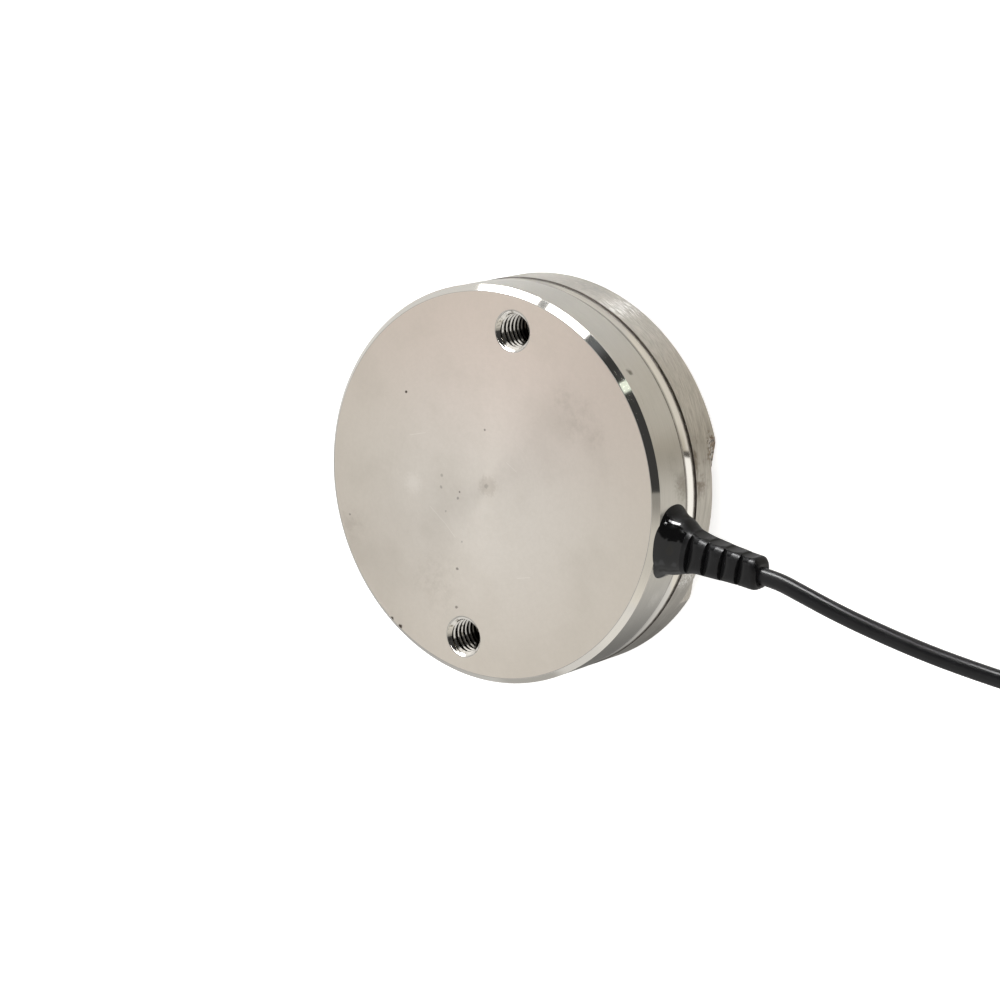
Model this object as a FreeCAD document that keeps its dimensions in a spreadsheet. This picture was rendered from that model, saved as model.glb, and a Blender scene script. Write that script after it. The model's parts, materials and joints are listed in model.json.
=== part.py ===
"""Compression load cell: a two-piece turned steel body with its strain-gauge bridge, moulded boot and cable.

Millimetres, +Z up. The cell lies on its load button with the mounting face up, and the cable leaves along +X.
The origin is the centre of the load button's face.
"""
import FreeCAD, Part
import math
import os
import re
import Sketcher

Vector = FreeCAD.Vector

# Driving dimensions: the cell's name, its value and what it measures
SIZES = [
    ("body_diameter", 80, "outside of the base and of the spring element"),
    ("base_height", 14, "mounting face to seam"),
    ("element_height", 9, "seam to the element's rear face"),
    ("button_height", 2, "how far the load button stands out of the rear face"),
    ("button_diameter", 30, "load button"),
    ("button_break", 0.6, "chamfer round the load button's face"),
    ("button_root", 0.8, "fillet where the button meets the rear face"),
    ("face_chamfer", 1.2, "polished chamfer round the mounting face"),
    ("rim_break", 0.4, "chamfer round the rear face"),
    ("seam_gap", 0.4, "width of the parting line"),
    ("seam_depth", 0.8, "depth of the parting line"),
    ("groove_depth", 0.55, "polished relief groove beside the seam"),
    ("groove_corner", 0.62, "radius of that groove's steep front side"),
    ("groove_sweep", 22, "slope where the groove's shallow rear side meets the seam, in degrees"),
    ("cavity_diameter", 50, "hollow of the base"),
    ("cavity_depth", 10, "hollow of the base, from the seam"),
    ("hole_spacing", 64, "between the two tapped holes"),
    ("thread_diameter", 8, "outside diameter of the M8 thread"),
    ("hole_depth", 10.5, "full-diameter depth of a tapped hole"),
    ("hole_countersink", 0.15, "chamfer at a tapped hole's mouth"),
    ("drill_angle", 118, "point angle of the drill that made the holes, in degrees"),
    ("flat_depth", 3.67, "how far the flat on the rear rim cuts in"),
    ("flat_height", 3.35, "height of that flat, from the rear face"),
    ("flat_turn", 1.2, "how far the flat is turned from the cable's side, in degrees"),
    ("diaphragm_thickness", 3, "web that bends under the load"),
    ("hub_diameter", 20, "stiff centre of the element"),
    ("hub_gap", 1.5, "top of the hub below the seam"),
    ("trough_fillet", 1.2, "fillets where the diaphragm meets hub and rim"),
    ("lip_height", 2, "register lip that centres the element in the base"),
    ("lip_thickness", 1.5, "wall of that lip"),
    ("lip_clearance", 0.05, "lip inside the base's hollow"),
    ("gauge_length", 7, "carrier film of a strain gauge, along the radius"),
    ("gauge_width", 4, "carrier film, across the radius"),
    ("gauge_thickness", 0.15, "carrier film"),
    ("tab_length", 1.4, "solder tab of a gauge"),
    ("tab_width", 1.1, "solder tab, across"),
    ("tab_thickness", 0.15, "solder tab"),
    ("tab_spacing", 2.2, "between a gauge's two tabs"),
    ("gauge_wire", 0.3, "diameter of a gauge's wire"),
    ("board_diameter", 34, "terminal board"),
    ("board_thickness", 1.2, "terminal board"),
    ("screw_circle", 26, "circle through the board's screws"),
    ("standoff_height", 4, "board to the roof of the hollow"),
    ("standoff_diameter", 4.4, "pillars that carry the board"),
    ("screw_diameter", 2, "board screws"),
    ("screw_clearance", 0.1, "screw inside board and pillar"),
    ("screw_reach", 2.6, "how far a screw goes into its pillar"),
    ("head_diameter", 3.8, "screw head"),
    ("head_height", 1.3, "screw head"),
    ("resistor_diameter", 2.2, "body of a resistor"),
    ("resistor_length", 6, "body of a resistor"),
    ("resistor_lead", 0.6, "diameter of a resistor's leads"),
    ("resistor_span", 9, "between a resistor's two leads"),
    ("resistor_pitch", 3.4, "from one resistor to the next"),
    ("cable_diameter", 3.4, "over the jacket"),
    ("cable_clearance", 0.05, "jacket inside what it runs through"),
    ("cable_level", 6.3, "cable axis below the mounting face"),
    ("core_diameter", 0.9, "insulated core"),
    ("core_spacing", 1.1, "between the four cores' centres"),
    ("pad_spacing", 3, "between the cores' solder pads"),
    ("pad_inset", 5.1, "cores' solder pads in from the board's edge"),
    ("boot_length", 20.8, "boot beyond the wall"),
    ("flare_width", 14.7, "trumpet flare on the wall, along the rim"),
    ("flare_height", 10.8, "trumpet flare on the wall, along the axis"),
    ("boot_end_size", 6.4, "boot at its end, both ways"),
    ("boot_squareness", 3, "power of the boot's section: 2 is an ellipse, more is squarer"),
    ("boot_end_round", 0.7, "rounding of the boot's end"),
    ("slot_count", 4, "cross slots on each side"),
    ("slot_first", 6.7, "from the wall to the first slot"),
    ("slot_pitch", 3.68, "from slot to slot"),
    ("slot_width", 1.3, "along the cable"),
    ("spine_height", 2.6, "spine left between the upper and lower slots"),
    ("slot_skin", 0.25, "rubber left round the cable in a slot"),
    ("stem_diameter", 6, "boot's stem in the wall"),
    ("stem_length", 8, "boot's stem in the wall"),
    ("stem_clearance", 0.05, "stem inside its bore"),
    ("seal_thickness", 1.5, "rubber ring behind the stem"),
    ("ferrule_length", 4, "crimped ring inside the wall"),
    ("ferrule_wall", 0.5, "crimped ring"),
    ("jacket_stub", 1.5, "jacket left beyond the ferrule"),
    ("straight_run", 6.8, "straight first and last run of a free stretch of cable"),
    ("coil_mean_diameter", 37.4, "put-away coil, at the middle of its turns"),
    ("coil_columns", 4, "turns side by side"),
    ("coil_layers", 4, "turns on each other"),
    ("coil_skin", 0.05, "coil's ring over its outermost turns"),
    ("coil_x", 137, "centre of the coil"),
    ("coil_y", 15.8, "centre of the coil"),
    ("coil_lead", 14, "straight lead in and out of the coil"),
    ("lead_out_angle", -62, "where the far end leaves the coil, in degrees"),
    ("tie_thickness", 0.8, "strap round the coil"),
    ("tie_angle", 24, "part of the coil that the strap covers, in degrees"),
    ("tie_place", 100, "where the strap starts, in degrees"),
    ("tie_clearance", 0.05, "strap off the coil"),
    ("sleeve_diameter", 4.4, "shrink sleeve on the bare end"),
    ("sleeve_length", 12, "shrink sleeve on the bare end"),
    ("tail_length", 16, "insulated core beyond the sleeve"),
    ("tinned_length", 5, "tinned end of a core"),
    ("tinned_diameter", 0.6, "tinned end of a core"),
    ("tail_spread", 2.4, "between the ends of the cores"),
    ("end_rise", 0.02, "ends of the cores' insulation off the surface"),
]

doc = FreeCAD.newDocument("compression_load_cell")
dim = doc.addObject("Spreadsheet::Sheet", "dim")
for row, (alias, amount, note) in enumerate(SIZES, start=1):
    dim.set(f"A{row}", note)
    dim.set(f"B{row}", str(amount))
    dim.setAlias(f"B{row}", alias)
doc.recompute()

ALIASES = {alias for alias, amount, note in SIZES}

# Levels and radii that several pieces share, as formulas of the cells above
WALL = "(body_diameter / 2)"
SEAM = "(button_height + element_height)"
FACE = f"({SEAM} + base_height)"
ROOF = f"({SEAM} + cavity_depth)"
HOLLOW = "(cavity_diameter / 2)"
LIP = f"({HOLLOW} - lip_clearance)"
TROUGH = f"({LIP} - lip_thickness)"
DIAPHRAGM = "(button_height + diaphragm_thickness)"
AXIS = f"({FACE} - cable_level)"
BOOT_END = f"({WALL} + boot_length)"
STEM_END = f"({WALL} - stem_length)"
SHOULDER = f"({STEM_END} - seal_thickness)"
FERRULE = "(cable_diameter / 2 + ferrule_wall)"
FERRULE_SEAT = f"sqrt({HOLLOW}^2 - {FERRULE}^2)"
JACKET_END = f"({FERRULE_SEAT} - ferrule_length - jacket_stub)"
CABLE_BORE = "(cable_diameter / 2 + cable_clearance)"
BOARD_TOP = f"({ROOF} - standoff_height)"
BOARD_BOTTOM = f"({BOARD_TOP} - board_thickness)"
GAUGE_RADIUS = f"((hub_diameter / 2 + {TROUGH}) / 2)"
TAB_TOP = f"({DIAPHRAGM} + gauge_thickness + tab_thickness)"
LAYER = "(tie_thickness + tie_clearance + coil_skin + cable_diameter / 2)"
OUTER_TURN = "(coil_mean_diameter / 2 + (coil_columns - 1) / 2 * cable_diameter)"
TOP_LAYER = f"({LAYER} + (coil_layers - 1) * cable_diameter)"

parts = []


def bind(formula):
    """The formula with each cell's name led by the sheet's."""
    def lead(word):
        return "dim." + word.group() if word.group() in ALIASES else word.group()
    return re.sub(r"[a-z_]+", lead, formula)


def worth(formula):
    """What a formula comes to with the sheet as it is."""
    return float(dim.evalExpression(bind(formula)))


def bound(kind, label, **formulas):
    """A new object whose properties follow formulas; base_x, base_y and base_z are its place."""
    thing = doc.addObject(kind, label)
    for name, formula in formulas.items():
        path = "Placement.Base." + name[-1] if name.startswith("base_") else name
        thing.setExpression(path, bind(formula))
    return thing


def along_x(thing):
    """Turn an upright primitive to lie along +X."""
    thing.Placement = FreeCAD.Placement(thing.Placement.Base, FreeCAD.Rotation(Vector(0, 1, 0), 90))
    return thing


def cut(label, base, tool):
    result = doc.addObject("Part::Cut", label)
    result.Base = base
    result.Tool = tool
    return result


def fuse(label, shapes):
    result = doc.addObject("Part::MultiFuse", label)
    result.Shapes = shapes
    return result


def finished(thing, label):
    """Name a sub-part and put it on the list of those that are written."""
    thing.Label = label
    parts.append(thing)
    return thing


def shaped(label, shape):
    """A sub-part whose shape is worked out here from the sheet's values."""
    thing = doc.addObject("Part::Feature", label)
    thing.Shape = shape
    return finished(thing, label)


# Sketches and turned features


def origin_plane(body, role):
    return next(item for item in body.Origin.OriginFeatures if item.Role == role)


def sketch_on(body, label, role, **offsets):
    """A sketch on one of its body's origin planes, moved by formulas along its own axes."""
    sketch = body.newObject("Sketcher::SketchObject", label)
    sketch.AttachmentSupport = [(origin_plane(body, role), "")]
    sketch.MapMode = "FlatFace"
    for axis, formula in offsets.items():
        sketch.setExpression("AttachmentOffset.Base." + axis, bind(formula))
    return sketch


def hollow_arc(start, end, radius):
    """The arc from start to end that bows to the left of that way, into the solid."""
    chord = end - start
    sag = radius - math.sqrt(max(radius ** 2 - (chord.Length / 2) ** 2, 0))
    left = Vector(-chord.y, chord.x, 0).normalize()
    return Part.Arc(start, (start + end) / 2 + left * sag, end)


def outline(sketch, corners):
    """Close a sketch through corners given as formulas, anticlockwise.

    A corner is (across, up), or (across, up, radius) where the edge that leaves it is a hollow arc.
    """
    points = [Vector(worth(corner[0]), worth(corner[1]), 0) for corner in corners]
    for corner, start, end in zip(corners, points, points[1:] + points[:1]):
        if len(corner) == 3:
            sketch.addGeometry(hollow_arc(start, end, worth(corner[2])))
        else:
            sketch.addGeometry(Part.LineSegment(start, end))

    def end_at(edge, point):
        return 1 if sketch.getPoint(edge, 1).isEqual(point, 1e-6) else 2

    for i, corner in enumerate(corners):
        before = (i - 1) % len(corners)
        end = end_at(i, points[i])
        joint = Sketcher.Constraint("Coincident", before, end_at(before, points[i]), i, end)
        sketch.addConstraint(joint)
        for kind, formula, axis in (("DistanceX", corner[0], -2), ("DistanceY", corner[1], -1)):
            if formula == "0":
                sketch.addConstraint(Sketcher.Constraint("PointOnObject", i, end, axis))
            else:
                place = sketch.addConstraint(Sketcher.Constraint(kind, -1, 1, i, end, worth(formula)))
                sketch.setExpression(f"Constraints[{place}]", bind(formula))
        if len(corner) == 3:
            place = sketch.addConstraint(Sketcher.Constraint("Radius", i, worth(corner[2])))
            sketch.setExpression(f"Constraints[{place}]", bind(corner[2]))
    return sketch


def turned(body, kind, label, sketch, axis="V_Axis"):
    """A full Revolution, or a Groove that has to take something away."""
    before = body.Shape.Volume if kind == "Groove" else 0
    feature = body.newObject("PartDesign::" + kind, label)
    feature.Profile = sketch
    feature.ReferenceAxis = (sketch, [axis])
    feature.Angle = 360
    doc.recompute()
    if kind == "Groove" and feature.Shape.Volume > before - 1e-6:
        raise RuntimeError(label + " cuts nothing")
    return feature


def mirrored(body, label, feature, role):
    """The feature again on the other side of an origin plane."""
    mirror = body.newObject("PartDesign::Mirrored", label)
    mirror.Originals = [feature]
    mirror.MirrorPlane = (origin_plane(body, role), [""])
    body.Tip = mirror
    doc.recompute()
    return mirror


# Tubes along straight runs and tangent arcs
BEND_SHARE = 0.45


def bend(before, corner, after):
    """How far from its corner an arc starts, and its radius: as large as the two runs allow."""
    back = before - corner
    on = after - corner
    turn = math.pi - back.getAngle(on)
    reach = BEND_SHARE * min(back.Length, on.Length)
    return reach, reach / math.tan(turn / 2)


def rounded_path(points):
    """The wire through the points, with each corner an arc that takes up most of half its shorter run."""
    edges = []
    here = points[0]
    for before, corner, after in zip(points, points[1:], points[2:]):
        reach, radius = bend(before, corner, after)
        back = (before - corner).normalize()
        on = (after - corner).normalize()
        middle = (back + on).normalize()
        enter = corner + back * reach
        leave = corner + on * reach
        crown = corner + middle * (math.hypot(reach, radius) - radius)
        edges.append(Part.LineSegment(here, enter).toShape())
        edges.append(Part.Arc(enter, crown, leave).toShape())
        here = leave
    edges.append(Part.LineSegment(here, points[-1]).toShape())
    return Part.Wire(edges)


def tube(points, diameter):
    """A solid tube along the points."""
    path = rounded_path(points)
    ring = Part.Wire(Part.makeCircle(diameter / 2, points[0], points[1] - points[0]))
    solid = path.makePipeShell([ring], True, False)
    wanted = math.pi * diameter ** 2 / 4 * path.Length
    if abs(solid.Volume - wanted) > 0.01 * wanted:
        raise RuntimeError("a tube's volume is not its section times its length")
    return solid


# Base housing: turned cup with the mounting face, two tapped holes and the bore for boot and cable
base = doc.addObject("PartDesign::Body", "base_housing")
groove_start = f"({SEAM} + seam_gap)"
groove_bend = "(groove_depth / (1 - cos(groove_sweep * 1deg)))"
groove_bottom = f"({groove_start} + {groove_bend} * sin(groove_sweep * 1deg))"
groove_end = f"({groove_bottom} + sqrt(groove_depth * (2 * groove_corner - groove_depth)))"
base_profile = outline(sketch_on(base, "base_profile", "XZ_Plane"), [
    (HOLLOW, SEAM),
    (f"{WALL} - seam_depth", SEAM),
    (f"{WALL} - seam_depth", groove_start),
    (WALL, groove_start, groove_bend),
    (f"{WALL} - groove_depth", groove_bottom, "groove_corner"),
    (WALL, groove_end),
    (WALL, f"{FACE} - face_chamfer"),
    (f"{WALL} - face_chamfer", FACE),
    ("0", FACE),
    ("0", ROOF),
    (HOLLOW, ROOF),
])
turned(base, "Revolution", "base_turning", base_profile)

hole_bottom = f"{FACE} - hole_depth"
hole_profile = outline(sketch_on(base, "hole_profile", "YZ_Plane", x="hole_spacing / 2"), [
    ("0", f"{hole_bottom} - thread_diameter / 2 / tan(drill_angle / 2 * 1deg)"),
    ("thread_diameter / 2", hole_bottom),
    ("thread_diameter / 2", f"{FACE} - hole_countersink"),
    ("thread_diameter / 2 + hole_countersink", FACE),
    ("0", FACE),
])
hole = turned(base, "Groove", "tapped_hole", hole_profile)
mirrored(base, "second_tapped_hole", hole, "XZ_Plane")

bore_profile = outline(sketch_on(base, "bore_profile", "XZ_Plane", y=AXIS), [
    (f"{HOLLOW} * 0.9", "0"),
    (f"{WALL} * 1.1", "0"),
    (f"{WALL} * 1.1", "stem_diameter / 2 + stem_clearance"),
    (SHOULDER, "stem_diameter / 2 + stem_clearance"),
    (SHOULDER, CABLE_BORE),
    (f"{HOLLOW} * 0.9", CABLE_BORE),
])
turned(base, "Groove", "cable_bore", bore_profile, "H_Axis")
finished(base, "base_housing")

# Spring element: load button, diaphragm, hub and register lip in one piece, with a flat on its rear rim
element = doc.addObject("PartDesign::Body", "spring_element")
button = "button_diameter / 2"
element_profile = outline(sketch_on(element, "element_profile", "XZ_Plane"), [
    ("0", "0"),
    (f"{button} - button_break", "0"),
    (button, "button_break"),
    (button, "button_height - button_root", "button_root"),
    (f"{button} + button_root", "button_height"),
    (f"{WALL} - rim_break", "button_height"),
    (WALL, "button_height + rim_break"),
    (WALL, SEAM),
    (LIP, SEAM),
    (LIP, f"{SEAM} + lip_height"),
    (TROUGH, f"{SEAM} + lip_height"),
    (TROUGH, f"{DIAPHRAGM} + trough_fillet", "trough_fillet"),
    (f"{TROUGH} - trough_fillet", DIAPHRAGM),
    ("hub_diameter / 2 + trough_fillet", DIAPHRAGM, "trough_fillet"),
    ("hub_diameter / 2", f"{DIAPHRAGM} + trough_fillet"),
    ("hub_diameter / 2", f"{SEAM} - hub_gap"),
    ("0", f"{SEAM} - hub_gap"),
])
turned(element, "Revolution", "element_turning", element_profile)


def flat_corner(across, along):
    """A corner of the flat's cut, turned round the axis with it."""
    return (f"{across} * cos(flat_turn * 1deg) - {along} * sin(flat_turn * 1deg)",
            f"{across} * sin(flat_turn * 1deg) + {along} * cos(flat_turn * 1deg)")


flat_sketch = outline(sketch_on(element, "flat_sketch", "XY_Plane", z="button_height"), [
    flat_corner(f"({WALL} - flat_depth)", f"(-{WALL})"),
    flat_corner(f"({WALL} * 1.1)", f"(-{WALL})"),
    flat_corner(f"({WALL} * 1.1)", WALL),
    flat_corner(f"({WALL} - flat_depth)", WALL),
])
round_volume = element.Shape.Volume
flat = element.newObject("PartDesign::Pocket", "rim_flat")
flat.Profile = flat_sketch
flat.setExpression("Length", bind("flat_height"))
flat.Reversed = True
doc.recompute()
if flat.Shape.Volume > round_volume - 1e-6:
    raise RuntimeError("the flat cuts nothing")
finished(element, "spring_element")


# Strain gauges: film with two solder tabs, bonded to the diaphragm at four places round the hub
GAUGE_ANGLES = (45, 135, 225, 315)


def polar(angle):
    """The placement that turns a shape drawn along +X to lie along that angle."""
    return FreeCAD.Placement(Vector(), FreeCAD.Rotation(Vector(0, 0, 1), angle))


def strain_gauge(number, angle):
    inner_end = f"{GAUGE_RADIUS} - gauge_length / 2"
    film = bound("Part::Box", f"gauge_film_{number}", Length="gauge_length", Width="gauge_width",
                 Height="gauge_thickness", base_x=inner_end, base_y="-gauge_width / 2", base_z=DIAPHRAGM)
    tabs = []
    for side in (-1, 1):
        tabs.append(bound("Part::Box", f"gauge_tab_{number}", Length="tab_length", Width="tab_width",
                          Height="tab_thickness", base_x=inner_end,
                          base_y=f"{side} * tab_spacing / 2 - tab_width / 2",
                          base_z=f"{DIAPHRAGM} + gauge_thickness"))
    gauge = fuse(f"strain_gauge_{number}", [film] + tabs)
    gauge.Placement = polar(angle)
    return finished(gauge, f"strain_gauge_{number}")


def gauge_wires(number, angle):
    """The pair of fine wires from a gauge's tabs up to the board, with a small step inwards on the way."""
    start = worth(f"{GAUGE_RADIUS} - gauge_length / 2 + tab_length / 2")
    low = worth(TAB_TOP)
    high = worth(BOARD_BOTTOM)
    rise = high - low
    step_low = low + 0.3 * rise
    step_high = low + 0.65 * rise
    stepped_in = start - 0.15 * rise
    pair = []
    for side in (-1, 1):
        across = side * worth("tab_spacing / 2")
        points = [
            Vector(start, across, low),
            Vector(start, across, step_low),
            Vector(stepped_in, across, step_high),
            Vector(stepped_in, across, high),
        ]
        pair.append(tube(points, worth("gauge_wire")))
    wires = shaped(f"gauge_wires_{number}", Part.makeCompound(pair))
    wires.Placement = polar(angle)
    return wires


for number, angle in enumerate(GAUGE_ANGLES, start=1):
    strain_gauge(number, angle)
    gauge_wires(number, angle)

# Terminal board on its pillars, under the roof of the hollow
SCREW_ANGLES = (60, 180, 300)

board = doc.addObject("PartDesign::Body", "bridge_board")
board_sketch = sketch_on(board, "board_sketch", "XY_Plane", z=BOARD_BOTTOM)
board_sketch.addGeometry(Part.Circle(Vector(), Vector(0, 0, 1), worth("board_diameter / 2")))
board_sketch.addConstraint(Sketcher.Constraint("Coincident", 0, 3, -1, 1))
board_rim = board_sketch.addConstraint(Sketcher.Constraint("Diameter", 0, worth("board_diameter")))
board_sketch.setExpression(f"Constraints[{board_rim}]", bind("board_diameter"))
board_pad = board.newObject("PartDesign::Pad", "board_pad")
board_pad.Profile = board_sketch
board_pad.setExpression("Length", bind("board_thickness"))
doc.recompute()
for angle in SCREW_ANGLES:
    across = f"screw_circle / 2 * cos({angle}deg)"
    along = f"screw_circle / 2 * sin({angle}deg)"
    place = sketch_on(board, f"board_hole_{angle}_place", "XY_Plane", x=across, y=along, z=BOARD_BOTTOM)
    place.addGeometry(Part.Circle(Vector(), Vector(0, 0, 1), worth("screw_diameter / 2 + screw_clearance")))
    place.addConstraint(Sketcher.Constraint("Coincident", 0, 3, -1, 1))
    rim = place.addConstraint(Sketcher.Constraint("Radius", 0, worth("screw_diameter / 2 + screw_clearance")))
    place.setExpression(f"Constraints[{rim}]", bind("screw_diameter / 2 + screw_clearance"))
    solid_volume = board.Shape.Volume
    board_hole = board.newObject("PartDesign::Pocket", f"board_hole_{angle}")
    board_hole.Profile = place
    board_hole.setExpression("Length", bind("board_thickness"))
    board_hole.Reversed = True
    doc.recompute()
    if board_hole.Shape.Volume > solid_volume - 1e-6:
        raise RuntimeError("a screw hole cuts nothing")
finished(board, "bridge_board")


def round_the_screws(label, solid):
    """Copies of a solid, drawn on the Z axis, at the board's screws."""
    copies = []
    for angle in SCREW_ANGLES:
        copy = solid.copy()
        copy.translate(Vector(worth("screw_circle / 2"), 0, 0))
        copy.rotate(Vector(), Vector(0, 0, 1), angle)
        copies.append(copy)
    return shaped(label, Part.makeCompound(copies))


def upright(radius, height, level):
    """A cylinder on the Z axis, from formulas."""
    return Part.makeCylinder(worth(radius), worth(height), Vector(0, 0, worth(level)))


pillar = upright("standoff_diameter / 2", "standoff_height", BOARD_TOP)
pillar_bore = upright("screw_diameter / 2 + screw_clearance", "screw_reach + screw_clearance", BOARD_TOP)
round_the_screws("board_standoffs", pillar.cut(pillar_bore))

screw_head = upright("head_diameter / 2", "head_height", f"{BOARD_BOTTOM} - head_height")
screw_shank = upright("screw_diameter / 2", "board_thickness + screw_reach", BOARD_BOTTOM)
round_the_screws("board_screws", screw_head.fuse(screw_shank).removeSplitter())


def resistor(label, column):
    """A wire-ended resistor lying on the board, its leads bent down onto it."""
    level = worth(f"{BOARD_TOP} + resistor_diameter / 2")
    across = worth("resistor_pitch") * column
    half_body = worth("resistor_length / 2")
    half_span = worth("resistor_span / 2")
    body = Part.makeCylinder(worth("resistor_diameter / 2"), worth("resistor_length"),
                             Vector(across, -half_body, level), Vector(0, 1, 0))
    leads = []
    for side in (-1, 1):
        points = [
            Vector(across, 0, level),
            Vector(across, side * half_span, level),
            Vector(across, side * half_span, worth(BOARD_TOP)),
        ]
        leads.append(tube(points, worth("resistor_lead")))
    return shaped(label, body.fuse(leads).removeSplitter())


for column, label in enumerate(("zero_resistor", "span_resistor", "temperature_resistor")):
    resistor(label, column - 2)

# Cable through the wall, with its seal, crimped ring and the cores to the board
entry = along_x(bound("Part::Cylinder", "cable_entry", Radius="cable_diameter / 2",
                      Height=f"{BOOT_END} - {JACKET_END}", base_x=JACKET_END, base_z=AXIS))
finished(entry, "cable_entry")


def ring_on_cable(label, start, length, outside):
    """A ring round the cable."""
    outer = along_x(bound("Part::Cylinder", label + "_outside", Radius=outside, Height=length,
                          base_x=start, base_z=AXIS))
    inner = along_x(bound("Part::Cylinder", label + "_bore", Radius=CABLE_BORE, Height=length,
                          base_x=start, base_z=AXIS))
    return finished(cut(label, outer, inner), label)


ring_on_cable("cable_seal", SHOULDER, "seal_thickness", "stem_diameter / 2")
ring_on_cable("cable_ferrule", f"{FERRULE_SEAT} - ferrule_length", "ferrule_length", FERRULE)

CORES = (("red", -1, -1), ("black", -1, 1), ("green", 1, -1), ("white", 1, 1))


def inner_core(colour, side, height, pad):
    """A core from the end of the jacket down to its pad on the board."""
    start = worth(JACKET_END)
    level = worth(f"{AXIS} + {height} * core_spacing / 2")
    across = worth(f"{side} * core_spacing / 2")
    pad_y = worth("pad_spacing") * pad
    pad_x = worth("board_diameter / 2 - pad_inset")
    fan_out = start - 0.3 * (start - pad_x)
    points = [
        Vector(start, across, level),
        Vector(fan_out, across, level),
        Vector(pad_x, pad_y, level),
        Vector(pad_x, pad_y, worth(BOARD_TOP)),
    ]
    return shaped("core_" + colour, tube(points, worth("core_diameter")))


for pad, (colour, side, height) in zip((-1.5, -0.5, 0.5, 1.5), CORES):
    inner_core(colour, side, height, pad)

# Boot: trumpet flare lofted down to a squarish tail, cross slots above and below, a stem in the wall
SECTION_POINTS = 32

# Boot sections: place as a share of the boot's length, and how much of the flare's width and height is left
BOOT_SECTIONS = [
    (-0.034, 1, 1),
    (0.048, 0.71, 0.91),
    (0.144, 0.51, 0.73),
    (0.24, 0.31, 0.5),
    (0.385, 0.135, 0.25),
    (0.577, 0.07, 0.135),
    (0.77, 0.02, 0.045),
    (1, 0, 0),
]


def boot_section(share, wide_left, high_left):
    """A closed curve across the cable, between an ellipse and a rectangle."""
    x = worth(f"{WALL} + {share} * boot_length")
    wide = worth(f"(boot_end_size + {wide_left} * (flare_width - boot_end_size)) / 2")
    high = worth(f"(boot_end_size + {high_left} * (flare_height - boot_end_size)) / 2")
    power = 2 / worth("boot_squareness")
    points = []
    for place in range(SECTION_POINTS):
        angle = math.tau * place / SECTION_POINTS
        across = math.copysign(abs(math.cos(angle)) ** power, math.cos(angle))
        up = math.copysign(abs(math.sin(angle)) ** power, math.sin(angle))
        points.append(Vector(x, wide * across, worth(AXIS) + high * up))
    curve = Part.BSplineCurve()
    curve.interpolate(points, True)
    return Part.Wire(curve.toShape())


def on_cable(radius, start, length):
    """A cylinder round the cable's axis in the boot, from formulas."""
    return Part.makeCylinder(worth(radius), worth(length), Vector(worth(start), 0, worth(AXIS)), Vector(1, 0, 0))


def boot_slots():
    """Everything that the cross slots take away, above and below the cable."""
    wide = worth("flare_width")
    high = worth("flare_height")
    thick = worth("slot_width")
    half_spine = worth("spine_height / 2")
    boxes = []
    for place in range(round(worth("slot_count"))):
        x = worth(f"{WALL} + slot_first + {place} * slot_pitch - slot_width / 2")
        for low in (half_spine, -half_spine - high):
            boxes.append(Part.makeBox(thick, wide, high, Vector(x, -wide / 2, worth(AXIS) + low)))
    skin = on_cable(f"{CABLE_BORE} + slot_skin", STEM_END, "stem_length + boot_length")
    return Part.makeCompound(boxes).cut(skin)


boot_loft = Part.makeLoft([boot_section(*section) for section in BOOT_SECTIONS], True, False)
chamfer_start = worth(f"{FACE} - face_chamfer")
boot_seat = Part.makeCylinder(worth(WALL), chamfer_start)
boot_seat = boot_seat.fuse(Part.makeCone(worth(WALL), worth(f"{WALL} - face_chamfer"), worth("face_chamfer"),
                                         Vector(0, 0, chamfer_start)))
boot_shape = boot_loft.cut(boot_seat).fuse(on_cable("stem_diameter / 2", STEM_END, "stem_length * 1.2"))
boot_shape = boot_shape.cut(on_cable(CABLE_BORE, f"{STEM_END} * 0.9", "body_diameter")).cut(boot_slots())


def end_edge(shape, x):
    """The outer edge of the boot's end, the longest that lies in that plane."""
    flat = [edge for edge in shape.Edges if abs(edge.BoundBox.XMin - x) + abs(edge.BoundBox.XMax - x) < 0.01]
    return max(flat, key=lambda edge: edge.Length)


boot_rim = end_edge(boot_shape, worth(BOOT_END))
shaped("cable_boot", boot_shape.makeFillet(worth("boot_end_round"), [boot_rim]))

# Free cable: out of the boot, down to the surface that the cell lies on, and along it to the coil
CABLE_ROUTE = [
    (77.5, -1.8, 17.0),
    (86.0, -4.2, 13.6),
    (94.0, -6.3, 9.7),
    (102.0, -7.7, 6.1),
    (109.5, -8.3, 3.7),
]


def cord(label, points):
    """A stretch of free cable; the radii of its bends are printed."""
    radii = [bend(*three)[1] for three in zip(points, points[1:], points[2:])]
    print(label, "bend radii:", " ".join(f"{radius:.0f}" for radius in radii))
    return shaped(label, tube(points, worth("cable_diameter")))


coil_centre = Vector(worth("coil_x"), worth("coil_y"), 0)
lead_in = coil_centre + Vector(-worth("coil_lead"), -worth(OUTER_TURN), worth(LAYER))
cable_exit = Vector(worth(BOOT_END), 0, worth(AXIS))
straight = Vector(worth("straight_run"), 0, 0)
cable_points = [cable_exit, cable_exit + straight]
cable_points += [Vector(*point) for point in CABLE_ROUTE]
cable_points += [lead_in - straight, lead_in]
cord("cable", cable_points)

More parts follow.
